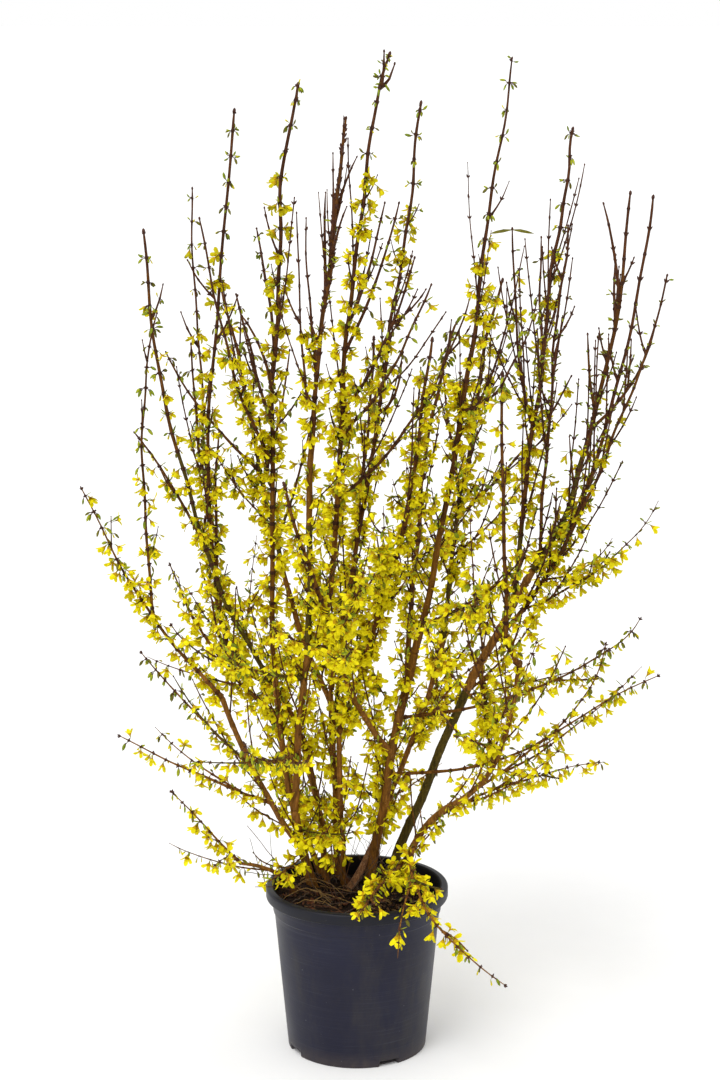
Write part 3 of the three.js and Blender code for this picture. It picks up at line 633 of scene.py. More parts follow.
def source_bloom(height):
    fade = (height - BLOOM["full"]) / (BLOOM["end"] - BLOOM["full"])
    return float(np.clip(1 - fade, BLOOM["least"], 1))


def side_shoot(parent, start, share, angle, length, rule):
    """A shoot that leaves its parent sideways, turned about it by an angle, and leans as its rule says."""
    curve = parent.curve
    aim = curve.sideways(share, angle) + rule["forwards"] * curve.along(share) + rule["upwards"] * UP
    tip = start + unit(aim) * length
    seed, offset = [rule["seed"], int(angle * ANGLE_STEPS)], parent.offset_at(share)
    return cane_on(parent.name, start, tip, rule["sweep"], 0, rule["radii"], offset, seed, rule["kind"])


def side_twigs(cane, draw, placed):
    """The source's side twigs of a cane: the same draws in the same order."""
    twigs = []
    count = math.floor(cane.curve.length / TWIG["spacing"])
    for i in range(1, count):
        share = i / count
        start = cane.spot_on(share)
        chosen = draw() < TWIG["chance"] * source_bloom(start[2])
        angle = TAU * draw()
        length = lerp(*TWIG["length"], draw()) * (1 - TWIG["shortening"] * share)
        if not chosen:
            continue
        twig = side_shoot(cane, start, share, angle, length, TWIG)
        pieces = pieces_along(twig, twig.steps)
        rise = (start[2] - BARE_TWIGS["from"]) / (BARE_TWIGS["all"] - BARE_TWIGS["from"])
        is_bare = twig.phases[0] / TAU < BARE_TWIGS["most"] * np.clip(rise, 0, 1)
        twig.fade, twig.habit = BARE if is_bare else (cane.fade, cane.habit)
        if all(placed.is_clear(piece, TWIG["spare"], cane.name) for piece in pieces):
            placed.add(cane.name, pieces)
            twigs.append(twig)
    return twigs


def shoots_along(parent, rule, draws, more=1):
    """A rule's shoots along a parent, before any is left out. Each takes its draws as it is asked for."""
    count = int(parent.curve.length / rule["spacing"] * more)
    for i in range(1, count):
        share = (i + draws.uniform(-rule["jitter"], rule["jitter"])) / count
        angle, size = draws.uniform(0, TAU), draws.uniform()
        length = lerp(*rule["length"], size ** rule.get("skew", 1)) * (1 - rule.get("shortening", 0) * share)
        yield side_shoot(parent, parent.curve.at(share), share, angle, length, rule)


def is_outside(spot, spare=0):
    """Whether a spot is outside the model's box, by more than a spare distance."""
    return bool(np.any(spot < REACH[0] - spare) or np.any(spot > REACH[1] + spare))


def is_between(shoot, rule):
    """Whether a shoot's foot is between the heights that its rule gives."""
    return rule["lowest"] < shoot.curve.start[2] < rule["highest"]


def finer_shoots(cane, draws):
    """Short flowering shoots that carry the source's rule on, within the same reach."""
    made = []
    full = SHOOT["chance"] * lerp(SHOOT["least"], 1, cane.fullness)
    for shoot in shoots_along(cane, SHOOT, draws):
        chance, foot = draws.uniform(), shoot.curve.start[2]
        if chance > full * cane.bloom(foot + SHOOT["flowers_below"]) or foot < SHOOT["lowest"]:
            continue
        if not is_outside(shoot.curve.tip, SHOOT["outside"]):
            shoot.fade = cane.fade
            made.append(shoot)
    return made


def switches(cane, draws):
    """Long thin shoots without flowers, which stand up beside a cane."""
    made = []
    for shoot in shoots_along(cane, SWITCH, draws, SWITCH_SHARE.get(cane.name, 1)):
        if draws.uniform() > SWITCH["chance"] or not is_between(shoot, SWITCH):
            continue
        tip = shoot.curve.tip
        if not is_outside(tip) and tip[2] <= cane.curve.tip[2] - SWITCH["under_tip"]:
            shoot.fade, shoot.habit = BARE
            made.append(shoot)
    return made


def limb_shoots(limb, draws):
    """Short flowering shoots on a stem or bough, over the pot's rim."""
    made = []
    for shoot in shoots_along(limb, LIMB_SHOOT, draws):
        if not is_between(shoot, LIMB_SHOOT) or draws.uniform() > lerp(LIMB_SHOOT["least"], 1, limb.fullness):
            continue
        if shoot.curve.tip[2] >= LIMB_SHOOT["lowest"]:
            shoot.fullness *= LIMB_SHOOT["fullness"]
            made.append(shoot)
    return made


def thin_shoots(limb, draws):
    """Long thin shoots low on a stem or bough, with hardly a flower."""
    made = []
    for shoot in shoots_along(limb, THIN_SHOOT, draws):
        if draws.uniform() <= THIN_SHOOT["chance"] and is_between(shoot, THIN_SHOOT):
            shoot.fullness = THIN_SHOOT["fullness"]
            made.append(shoot)
    return made


def strands(leader, draws):
    """Thin shoots that stand close against the flat cane."""
    made = []
    for share in np.linspace(*STRAND["shares"], STRAND["count"]):
        tip = leader.curve.at(share + draws.uniform(*STRAND["reach"])) + draws.uniform(*STRAND["aside"])
        start, offset = leader.curve.at(share), leader.offset_at(share)
        seed = [STRAND["seed"], int(share * ANGLE_STEPS)]
        sweep, radii = STRAND["sweep"], SWITCH["radii"]
        strand = cane_on(leader.name, start, tip, sweep, 0, radii, offset, seed, "switch")
        strand.fade, strand.habit = BARE
        made.append(strand)
    return made


def sprigs_on(limbs):
    """The short shoots with a place of their own."""
    made = []
    for number, (name, share, tip, fullness) in enumerate(SPRIGS):
        start, offset = limbs[name].curve.at(share), limbs[name].offset_at(share)
        seed = [SPRIG["seed"], number]
        sprig = cane_on(name, start, tip, SPRIG["sweep"], 0, SPRIG["radii"], offset, seed, "shoot")
        sprig.fade, sprig.fullness = SPRIG["heights"] if fullness else BARE[0], fullness
        made.append(sprig)
    return made


# ---- Meshes from arrays ----

class Gathered:
    """Points and faces of many small shapes, which are joined in one mesh."""

    def __init__(self):
        self.points, self.faces, self.kinds, self.count = [], {3: [], 4: []}, {3: [], 4: []}, 0

    def add(self, points, faces, kinds):
        """points (n, 3) in millimetres, faces (m, 3) or (m, 4), and a material number for each face."""
        points, faces = np.asarray(points, float), np.asarray(faces, int)
        corners = faces.shape[1]
        self.points.append(points)
        self.faces[corners].append(faces + self.count)
        self.kinds[corners].append(np.broadcast_to(np.asarray(kinds, int), (len(faces),)))
        self.count += len(points)

    def add_fan(self, ring, middle, kind):
        """Closes a ring of points that are there already, by triangles round a middle."""
        corners = np.stack([ring, np.roll(ring, -1), np.full(len(ring), self.count)], axis=1)
        self.add([middle], corners - self.count, kind)

    def mesh(self, name, materials):
        points = np.concatenate(self.points) * MM
        used = [n for n in (3, 4) if self.faces[n]]
        blocks = [(n, np.concatenate(self.faces[n]), np.concatenate(self.kinds[n])) for n in used]
        loops = np.concatenate([faces.ravel() for _, faces, _ in blocks])
        totals = np.concatenate([np.full(len(faces), n) for n, faces, _ in blocks])
        mesh = bpy.data.meshes.new(name)
        mesh.vertices.add(len(points))
        mesh.vertices.foreach_set("co", points.ravel())
        mesh.loops.add(len(loops))
        mesh.loops.foreach_set("vertex_index", loops)
        mesh.polygons.add(len(totals))
        mesh.polygons.foreach_set("loop_start", np.concatenate([[0], np.cumsum(totals)[:-1]]))
        mesh.polygons.foreach_set("loop_total", totals)
        mesh.polygons.foreach_set("material_index", np.concatenate([kinds for _, _, kinds in blocks]))
        mesh.polygons.foreach_set("use_smooth", np.ones(len(totals), bool))
        for material in materials:
            mesh.materials.append(material)
        mesh.update(calc_edges=True)
        mesh.validate()
        piece = bpy.data.objects.new(name, mesh)
        bpy.context.scene.collection.objects.link(piece)
        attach(piece, "root")
        return piece


def finish_piece(piece, slot, *nodes):
    """Hides the nodes of the model that a piece takes the place of. What it is made of, its slot, is not
    used.
    """
    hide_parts(*nodes)


def turns_of(sides):
    """Angles evenly round a ring."""
    return np.arange(sides) * TAU / sides


def grid_faces(rows, columns, closed=True):
    """Four-cornered faces of a grid of points; a closed grid joins its last column to its first."""
    row, column = np.meshgrid(np.arange(rows - 1), np.arange(columns - (not closed)), indexing="ij")
    here = row * columns + column
    right = row * columns + (column + 1) % columns
    return np.stack([here, right, right + columns, here + columns], axis=-1).reshape(-1, 4)


def add_rings(gathered, rings, kinds, middles=None):
    """A closed body of rings of points (n, sides, 3), with a fan round a middle at each end.

    kinds holds a material number for each stretch between two rings."""
    count, sides = rings.shape[:2]
    base = gathered.count
    gathered.add(rings.reshape(-1, 3), grid_faces(count, sides), np.repeat(kinds, sides))
    first, last = rings[[0, -1]].mean(axis=1) if middles is None else middles
    gathered.add_fan(base + np.arange(sides)[::-1], first, kinds[0])
    gathered.add_fan(base + (count - 1) * sides + np.arange(sides), last, kinds[-1])


def add_tube(gathered, spots, radii, sides, side, kinds):
    """A tube round a line of spots, with a radius for each ring or for each point of each ring."""
    along = unit(np.gradient(spots, axis=0))
    one = unit(side - (along @ side)[:, None] * along)
    two = np.cross(along, one)
    turn = turns_of(sides)[None, :, None]
    radii = np.broadcast_to(np.asarray(radii).reshape(len(spots), -1), (len(spots), sides))[..., None]
    rings = spots[:, None] + radii * (np.cos(turn) * one[:, None] + np.sin(turn) * two[:, None])
    add_rings(gathered, rings, kinds, (spots[0], spots[-1]))


def add_copies(gathered, prototype, turns, places, sizes, kinds_of):
    """Copies of a small shape: turns (n, 3, 3), places (n, 3), sizes (n), and kinds_of (n, faces)."""
    points, faces = prototype
    count, each = len(places), len(points)
    spread = np.einsum("nij,vj->nvi", turns, points) * np.asarray(sizes)[:, None, None] + places[:, None]
    numbers = faces[None] + (np.arange(count) * each)[:, None, None]
    gathered.add(spread.reshape(-1, 3), numbers.reshape(-1, faces.shape[1]), kinds_of.ravel())


# ---- Flowers, buds and leaves as small shapes, in millimetres ----
# Each faces +Z from its stalk's top at the origin. Its stalk's foot lies behind it, towards -X.

STALK_FOOT = np.array([-4, 0, -6.8])
STALK = ((*STALK_FOOT, 0.6), (-2, 0, -3.8, 0.48), (0, 0, -1.2, 0.62))
PETAL_KIND, THROAT_KIND, HEART_KIND = 0, 4, 5  # material numbers, where a petal has its flower's shade
CUP_GREEN, SCALE = 1, 4  # material numbers of the green cup, and of stalks and scales


def spun(rows, sides, phase=0.0):
    """A shape of rings round the Z axis or beside it: rows of x, y, z and radius."""
    turn = turns_of(sides) + phase
    points = [
        np.stack([x + r * np.cos(turn), y + r * np.sin(turn), np.full(sides, z)], axis=1)
        for x, y, z, r in rows
    ]
    return np.concatenate(points), grid_faces(len(rows), sides)


def petal(draws, foot_lean, tip_lean):
    """One petal: a narrow blade that leans out along +X, keeled along its middle and a little twisted."""
    fine = np.linspace(0, 1, 41)
    lean = lerp(foot_lean, tip_lean, fine**0.7)
    length = PETAL["length"] * draws.uniform(0.88, 1.1) / 40
    out = PETAL["foot_radius"] + np.concatenate([[0], np.cumsum(np.sin(lean[1:]))]) * length
    rise = PETAL["foot_height"] + np.concatenate([[0], np.cumsum(np.cos(lean[1:]))]) * length
    twist, curl = draws.uniform(-0.7, 0.7), draws.uniform(0.05, 0.3)
    width = PETAL["half_width"] * draws.uniform(0.85, 1.12)
    points = []
    for share, wide in PETAL_ROWS:
        x, z, slope = (np.interp(share, fine, values) for values in (out, rise, lean))
        front = np.array([-math.cos(slope), 0, math.sin(slope)])
        turn = twist * share
        across = np.array([0, math.cos(turn), 0]) + front * math.sin(turn)
        middle, half = np.array([x, 0, z]), width * wide
        points += [middle - across * half + front * curl * half, middle - front * 0.22 * half]
        points += [middle + across * half + front * curl * half]
    return np.array(points)


def flower(spread, draws):
    """A flower of four petals on a short tube. spread says how far it is open."""
    points, faces, kinds = [], [], []
    for k in range(4):
        lean = spread + draws.uniform(-0.14, 0.14)
        blade = petal(draws, 0.35 * lean, lean)
        turn = TAU * k / 4 + draws.uniform(-0.12, 0.12)
        faces.append(grid_faces(4, 3, closed=False) + 12 * k)
        points.append(blade @ rotation(0, 0, turn).T)
        kinds += [HEART_KIND] * 2 + [PETAL_KIND] * 4
    top = PETAL["foot_height"] + 0.4
    tube_points, tube_faces = spun([(0, 0, 0.5, 0.9), (0, 0, top, PETAL["foot_radius"] * 1.25)], 4, TAU / 8)
    return (
        np.concatenate([*points, tube_points]),
        np.concatenate([*faces, tube_faces + 48]),
        np.array(kinds + [THROAT_KIND] * 4),
    )


def closed_flower(length, width):
    """A flower that is still rolled up."""
    rows = [(0, 0, 0.5, 0.8), (0, 0, 0.35 * length, 0.75 * width), (0, 0, 0.7 * length, width)]
    points, faces = spun([*rows, (0, 0, 0.92 * length, 0.55 * width), (0, 0, length, 0.15)], 4)
    return points, faces, np.array([THROAT_KIND] * 4 + [PETAL_KIND] * 12)


def stalk():
    """A flower's brown stalk and the green cup that holds its petals, and which faces are the stalk's."""
    thin, thin_faces = spun([STALK[0], STALK[2]], 3)
    cup, cup_faces = spun([(0, 0, -1.4, 0.6), (0, 0, 3.2, 1.5)], 4)
    return np.concatenate([thin, cup]), np.concatenate([thin_faces, cup_faces + len(thin)]), np.arange(7) < 3


def hanging_bud(length, width):
    """A green bud on a brown stalk, and which of its faces are the stalk's."""
    rows = [*STALK[:2], (-0.2, 0, -0.8, 0.65 * width), (0, 0, 0.3 * length, width)]
    points, faces = spun([*rows, (0, 0, 0.72 * length, 0.75 * width), (0, 0, length, 0.12)], 4)
    return points, faces, np.arange(len(faces)) < 8


def tight_bud(length, width):
    """A pointed bud that sits on the bark: its foot is at the stalk's foot."""
    points, faces = spun([(0, 0, -0.5, width), (0, 0, 0.4 * length, 0.9 * width), (0, 0, length, 0.1)], 3)
    return points + STALK_FOOT, faces, np.ones(len(faces), bool)


def end_bud():
    """The blunt bud at a shoot's end, for a shoot of radius 1."""
    points, faces = spun([(0, 0, -0.6, 0.9), (0, 0, 0.7, 1.35), (0, 0, 2, 1.1), (0, 0, 3, 0.25)], 5)
    return points + STALK_FOOT, faces, np.ones(len(faces), bool)


def young_leaf(length, width, fold):
    """A narrow young leaf, folded along its middle and bent back at its tip."""
    rows = ((0, 0.25), (0.4, 1), (0.75, 0.8), (1, 0.1))
    points = []
    for share, wide in rows:
        x, z = 0.35 * length * share**2, length * share
        half = width * wide
        points += [(x + fold * half, -half, z), (x, 0, z), (x + fold * half, half, z)]
    return np.array(points) + STALK_FOOT, grid_faces(4, 3, closed=False), np.zeros(6, bool)


# ---- Where the flowers and buds stand ----

FRONT = np.array(CAMERA["place"], float)
SHOWN_LIMBS = {  # how far beside them flowers are kept off, how likely, and up to which height
    "stem_right": (15, 1, 700), "stem_centre_left": (9, 0.6, 700), "bough_centre_left": (8, 0.6, 1000),
    "bough_tall_left": (8, 0.5, 700), "stem_main": (9, 0.6, 700), "bough_tall_right": (8, 0.4, 1000),
    "stem_left": (9, 0.5, 420), "stem_rear_left": (8, 0.4, 620),
}
SHOWN_FROM = 330
FLOWER_REACH = 12  # how far a flower's middle stands from its node


def seen(spots):
    """Where spots stand in the view from the front, as shares of their distance."""
    reach = spots - FRONT
    return reach[..., ::2] / reach[..., 1:2]


class Shown:
    """The limbs that show from the front because few flowers stand before them."""

    def __init__(self, limbs):
        rows = []
        for name, numbers in SHOWN_LIMBS.items():
            spots = limbs[name].at(np.linspace(0, 1, 80))
            spots = spots[(spots[:, 2] < numbers[2]) & (spots[:, 2] > SHOWN_FROM)]
            rows.append(np.column_stack([seen(spots), spots[:, 1], np.tile(numbers[:2], (len(spots), 1))]))
        self.rows = np.concatenate(rows)
        self.draws = np.random.default_rng(SEEDS["shown"])

    def is_hidden_by(self, spot):
        gaps = np.hypot(*(self.rows[:, :2] - seen(spot)).T) * (spot[1] - FRONT[1])
        before = (gaps < self.rows[:, 3]) & (self.rows[:, 2] > spot[1])
        return bool(before.any() and self.draws.uniform() < self.rows[before, 4].max())


class Sprays:
    """All the flowers, buds and leaves: what each is, where it is, and which way it faces."""

    def __init__(self, shown):
        self.rows, self.shown = {}, shown

    def add(self, shape, node, out, face, size, shade):
        """Hangs a shape from a node by its stalk's foot."""
        if shape[0] not in ("end", "tight") and self.shown.is_hidden_by(node + FLOWER_REACH * out):
            return
        z = face / np.linalg.norm(face)
        x = out - (out @ z) * z
        x = x / max(np.linalg.norm(x), 1e-6)
        turn = np.stack([x, np.cross(z, x), z], axis=-1)
        place = node - turn @ STALK_FOOT * size
        self.rows.setdefault(shape, []).append((turn, place, size, shade))

    def by_shape(self):
        """Each shape in turn, with the turns, places, sizes and shades of its copies."""
        for shape in sorted(self.rows):
            yield shape, *(np.array(column) for column in zip(*self.rows[shape]))


FLOWERS = ("star", "bell", "rolled")
SHAPES = {  # how many there are of each kind, and the ranges of what its function takes
    "star": (10, flower, (1.0, 1.75)),
    "bell": (6, flower, (0.45, 0.95)),
    "rolled": (3, closed_flower, (11, 15), (2, 2.7)),
    "hanging": (4, hanging_bud, (7.5, 10), (2, 2.7)),
    "tight": (2, tight_bud, (4, 6.5), (1.2, 1.7)),
    "end": (1, end_bud),
    "leaf": (3, young_leaf, (8, 14), (1.5, 2.4), (0.2, 0.6)),
}
FLOWER_SHARES = (("star", 0.46), ("bell", 0.85), ("rolled", 1))  # each up to its number
FLOWER_HEIGHTS, FLOWER_SIZES = (300, 520, 1000, 1400), (1.02, 0.86, 0.83, 0.82)
DULL_HEIGHTS, DULLNESS = (350, 800, 1100, 1400), (-0.3, 0.6, 1.5, 2.3)  # the lowest are the brightest
# Painted shade: flowers further to the right, away from the light, take darker shades.
PAINTED_SHADE_SIDES, PAINTED_SIDE_SHADE = (-200, 200, 400), (-0.2, 0.2, 0.7)
# Painted light: flowers near the middle of the bush take brighter shades, as if light reached in among them.
PAINTED_LIGHT_MIDDLE = {"radius": 200, "by": 0.8}
LEAFY_HEIGHTS, LEAFINESS = (400, 700, 1000), (0.12, 0.3, 0.5)
LEAF_SHADES = (0, 1, 1, 3)
CLUSTER = {
    "spread": 0.42, "out": (0.4, 1), "forwards": (-0.1, 0.4), "droop": (0.3, 1.4), "beside": (-2.5, 2.5),
    "size": (0.85, 1.12), "leaves": 3,
}
LIMB_NODES = {"from": 360, "skipped": 0.8}
SPUR = {"swing": (-1.1, 1.1), "forwards": (-0.2, 0.7), "sunk": 1.5, "size": (0.9, 1.5)}
BUD = {
    "spread": 0.5, "out": (0.2, 0.8), "forwards": (-0.1, 0.2), "size": (0.8, 1.25), "chance": 0.6,
    "opening": 0.12, "rolled_size": (0.55, 0.8), "open_below": 700, "opens_over": 200,
}
DROOP, HIGH_DROOP, HIGH_BUDS = (0.3, 1.3), (-0.5, 1.1), 1250  # the buds over that height spread more
HIGH_BUD_SIZE = 0.85
GREEN_BUDS = {"blossom_right_long": 1330, "blossom_right_outer": 1370}  # canes that have them, up to a height
GREEN_BUD = {"fade": 300, "most": 0.5, "forwards": (-0.4, 1), "spread": 0.3, "size": (0.55, 0.85)}
BUDS_AT_TIP = ("blossom_tall_left", "blossom_tall_right", "blossom_crown")
TIP_SCALES = {"count": 7, "below": 3, "forwards": (0.2, 1.4), "size": 1.25}
LONG_LEAF = {"mass": "blossom_right_upright", "tip": (250, 60, 1365), "size": 2.5, "shade": 2, "rise": 0.1}
LONG_LEAF_STALK = np.array([0.0, 0.6, -1.0])


# A pair of buds: how far its turn strays, how far out its feet are, and its least share of flowers.
PAIR = {"stray": 0.25, "foot": 0.9, "least": 0.4}
TINT = {"shoot": 0.5, "stray": 0.8}
LEAF = {"out": (0.4, 1), "forwards": (0.1, 1), "spread": 0.25, "size": (0.8, 1.3)}
TIGHT_BUD = {"out": 0.7, "spread": 0.1, "size": (0.9, 1.6)}
FLAT_BUD = {"shares": (0.35, 1), "forwards": 1.5, "size": (1, 1.8)}


def one_of(kind, draws):
    """One of the shapes of a kind."""
    return kind, int(draws.integers(SHAPES[kind][0]))


def dress(shoot, sprays, draws):
    """Hangs flowers, buds and young leaves at a shoot's nodes, in pairs that take quarter turns."""
    phase = draws.uniform(0, TAU)
    shade = draws.integers(0, 3)
    kind = KINDS[shoot.kind]
    most, chance = kind["cluster"]
    is_limb = shoot.kind == "limb"
    spurs = kind["spurs"] if shoot.habit == "hanging" else 0
    if not is_limb:
        add_tip(shoot, sprays, draws)
    shares = shoot.curve.share_at(shoot.nodes)
    for i, (share, spot) in enumerate(zip(shares, shoot.at(shares))):
        bloom = shoot.bloom(spot[2])
        if is_limb and (spot[2] < LIMB_NODES["from"] or draws.uniform() < LIMB_NODES["skipped"]):
            continue
        fullness = shoot.fullness * smooth((shoot.curve.length - shoot.nodes[i]) / kind["tip_fade"])
        along = shoot.curve.along(share)
        turn = phase + (i % 2) * TAU / 4 + draws.uniform(-PAIR["stray"], PAIR["stray"])
        for angle in (turn, turn + TAU / 2):
            out = shoot.curve.sideways(share, angle)
            foot = spot + out * float(shoot.radius(share)) * PAIR["foot"]
            for swing in draws.uniform(*SPUR["swing"], spurs):
                aim = out + swing * np.cross(along, out) + draws.uniform(*SPUR["forwards"]) * along
                place, size = foot - out * SPUR["sunk"], draws.uniform(*SPUR["size"])
                sprays.add(("tight", 0), place, along, aim, size, 0)
            in_flower = draws.uniform() < bloom * lerp(PAIR["least"], 1, fullness)
            if in_flower:
                likely = min(1, chance * lerp(bloom, 1, 0.5) * fullness)
                add_cluster(sprays, foot, out, along, most, likely, shade, draws)
            if not in_flower or draws.uniform() > bloom:
                add_buds(sprays, foot, out, along, shoot, bloom, draws)


def add_tip(shoot, sprays, draws):
    """The blunt bud at a shoot's end. A leader's has scales that stand out round it."""
    tip, along = shoot.at(1.0), shoot.curve.along(1.0)
    sprays.add(("end", 0), tip, shoot.curve.side(), along, float(shoot.radius(1.0)), 0)
    if shoot.kind != "leader":
        return
    if shoot.name == FLAT_CANE["mass"]:
        add_flat_buds(shoot, sprays, draws)
    if shoot.habit == "hanging":
        for turn in draws.uniform(0, TAU, TIP_SCALES["count"]):
            face = shoot.curve.sideways(1.0, turn) + draws.uniform(*TIP_SCALES["forwards"]) * along
            sprays.add(("tight", 0), tip - TIP_SCALES["below"] * along, along, face, TIP_SCALES["size"], 0)
        turn = draws.uniform(0, TAU)
        for angle in (turn, turn + TAU / 2) if shoot.name in BUDS_AT_TIP else ():
            add_buds(sprays, tip - 2 * along, shoot.curve.sideways(1.0, angle), along, shoot, 0, draws)


def add_flat_buds(shoot, sprays, draws):
    """The crowded small buds of the flat cane, with leaves among the lower ones."""
    along = shoot.curve.along(1.0)
    for share in draws.uniform(*FLAT_BUD["shares"], FLAT_CANE["buds"]):
        out = shoot.curve.sideways(share, draws.uniform(0, TAU))
        foot = shoot.at(share) + out * float(shoot.radius(share))
        shape, face = one_of("tight", draws), out + FLAT_BUD["forwards"] * along
        sprays.add(shape, foot, out, face, draws.uniform(*FLAT_BUD["size"]), 0)
        if foot[2] < FLAT_CANE["leafy"] and draws.uniform() < FLAT_CANE["leaf_chance"]:
            add_leaf(sprays, foot, out, along, draws)


def add_cluster(sprays, foot, out, along, most, chance, shade, draws):
    """One flower or several that nod outwards from one side of a node."""
    for _ in range(1 + draws.binomial(most, chance)):
        aim = unit(out + draws.normal(0, CLUSTER["spread"], 3))
        face = aim * draws.uniform(*CLUSTER["out"]) + along * draws.uniform(*CLUSTER["forwards"])
        face -= UP * draws.uniform(*CLUSTER["droop"])
        pick = draws.uniform()
        shape = one_of(next(kind for kind, up_to in FLOWER_SHARES if pick < up_to), draws)
        place = foot + along * draws.uniform(*CLUSTER["beside"])
        # inside is painted light: the nearer the middle of the bush, the brighter a flower's shade.
        inside = math.exp(-((math.hypot(place[0], place[1]) / PAINTED_LIGHT_MIDDLE["radius"]) ** 2))
        tint = TINT["shoot"] * shade + np.interp(place[2], DULL_HEIGHTS, DULLNESS)
        tint -= PAINTED_LIGHT_MIDDLE["by"] * inside
        # The last term is painted shade: darker shades towards the right, away from the light.
        tint += draws.uniform(-TINT["stray"], TINT["stray"]) + np.interp(place[0], PAINTED_SHADE_SIDES, PAINTED_SIDE_SHADE)
        size = np.interp(place[2], FLOWER_HEIGHTS, FLOWER_SIZES) * draws.uniform(*CLUSTER["size"])
        sprays.add(shape, place, aim, face, size, int(np.clip(tint, 0, 3)))
    for _ in range(draws.binomial(CLUSTER["leaves"], np.interp(foot[2], LEAFY_HEIGHTS, LEAFINESS))):
        add_leaf(sprays, foot, out, along, draws)


def add_leaf(sprays, foot, out, along, draws):
    face = out * draws.uniform(*LEAF["out"]) + along * draws.uniform(*LEAF["forwards"])
    face += draws.normal(0, LEAF["spread"], 3)
    shape = one_of("leaf", draws)
    sprays.add(shape, foot, out, face, draws.uniform(*LEAF["size"]), int(draws.choice(LEAF_SHADES)))


def add_long_leaves(shoot, sprays):
    """A pair of long leaves, one to each side of a cane's tip."""
    for side in (-1, 1):
        face = np.array([side, 0.0, 0.0]) + LONG_LEAF["rise"] * UP
        sprays.add(("leaf", 0), shoot.at(1.0), LONG_LEAF_STALK, face, LONG_LEAF["size"], LONG_LEAF["shade"])


def add_tight_buds(sprays, foot, out, along, shoot, draws):
    """A bud that sits on a bare cane, and lower down small green ones on stalks."""
    face = out * TIGHT_BUD["out"] + along + draws.normal(0, TIGHT_BUD["spread"], 3)
    sprays.add(one_of("tight", draws), foot, out, face, draws.uniform(*TIGHT_BUD["size"]), 0)
    greenness = (GREEN_BUDS.get(shoot.name, 0) - foot[2]) / GREEN_BUD["fade"]
    for _ in range(draws.binomial(2, np.clip(greenness, 0, GREEN_BUD["most"]))):
        face = out + draws.uniform(*GREEN_BUD["forwards"]) * along + draws.normal(0, GREEN_BUD["spread"], 3)
        shape = one_of("hanging", draws)
        sprays.add(shape, foot, along, face, draws.uniform(*GREEN_BUD["size"]), int(draws.integers(3)))


def add_buds(sprays, foot, out, along, shoot, bloom, draws):
    """Buds at one side of a node. Low down on the plant they are nearly open."""
    if shoot.habit == "tight":
        add_tight_buds(sprays, foot, out, along, shoot, draws)
        return
    low = float(np.clip((BUD["open_below"] - foot[2]) / BUD["opens_over"], 0, 1))
    is_high = foot[2] > HIGH_BUDS
    for _ in range(1 + draws.binomial(3 if shoot.kind == "leader" else 1, BUD["chance"] - 0.5 * low)):
        aim = unit(out + draws.normal(0, BUD["spread"], 3))
        droop = draws.uniform(*(HIGH_DROOP if is_high else DROOP))
        face = aim * draws.uniform(*BUD["out"]) + along * draws.uniform(*BUD["forwards"]) - UP * droop
        if draws.uniform() < BUD["opening"] + 0.5 * max(bloom, low):
            sprays.add(one_of("rolled", draws), foot, aim, face, draws.uniform(*BUD["rolled_size"]), 2)
        else:
            shape = one_of("hanging", draws)
            size = draws.uniform(*BUD["size"]) * (HIGH_BUD_SIZE if is_high else 1)
            sprays.add(shape, foot, aim, face, size, int(draws.integers(3)))


# ---- Canes and limbs ----

TAN, BROWN, RED, PURPLE, OLIVE, PALE, KNOT = range(7)  # in the order of BARKS
BARK_LADDER = {"from": 420, "step": 300, "spread": 0.5, "olive": 0.18}
OLIVE_LIMBS = {"stem_right": 600, "bough_centre_left": 900}  # up to a height
PALE_LIMBS = {"stem_short": 360}
BARE_LIMBS = ("stem_right",)
KNOTS_FROM = 750
CANE_COLLAR = {"swell": 0.5, "length": 7}
LIMB_COLLAR = {"swell": 0.4, "length": 10}
SUNK = 7  # how deep a stem's foot goes into the compost
END_TAPER = 0.75
LIMB_SIDES, LIMB_STEP = 24, 3.4  # the second in millimetres
RIDGES = {"count": 7, "height": 0.16, "waves": (3, 12), "length": (28, 90)}
PORES = {"per_length": 0.55, "reach": 6, "length": 1.9, "width": 2.2, "height": (0.25, 0.75)}
SCARS = {
    "first": 26, "last": 8, "gap": 47, "length": 3, "width": 3.2, "height": 1.5, "swell": 0.06,
    "swell_length": 4.5,
}


def bark_kinds(shoot, heights, draws):
    """Which bark each stretch of a shoot has: tan low down, then brown and red to purple at the top."""
    ladder = np.array([TAN, BROWN, RED, PURPLE])
    step = KINDS[shoot.kind]["bark"] + (heights - BARK_LADDER["from"]) / BARK_LADDER["step"]
    step = step + draws.uniform(-BARK_LADDER["spread"], BARK_LADDER["spread"])
    kinds = ladder[np.clip(step, 0, 3).astype(int)]
    if draws.uniform() < BARK_LADDER["olive"] and shoot.kind != "limb":
        kinds = np.where(kinds < RED, OLIVE, kinds)
    kinds = np.where(heights < OLIVE_LIMBS.get(shoot.name, 0), OLIVE, kinds)
    if shoot.name == FLAT_CANE["mass"] and shoot.kind != "cane":
        kinds = np.minimum(kinds, RED)
    return kinds


def flattening(heights, sides):
    """How much wider a flat cane is at each point of its rings."""
    share = np.exp(-(((heights - FLAT_CANE["widest"]) / FLAT_CANE["spread"]) ** 2))
    return 1 + FLAT_CANE["wider"] * share[:, None] * np.sin(turns_of(sides))[None] ** 2


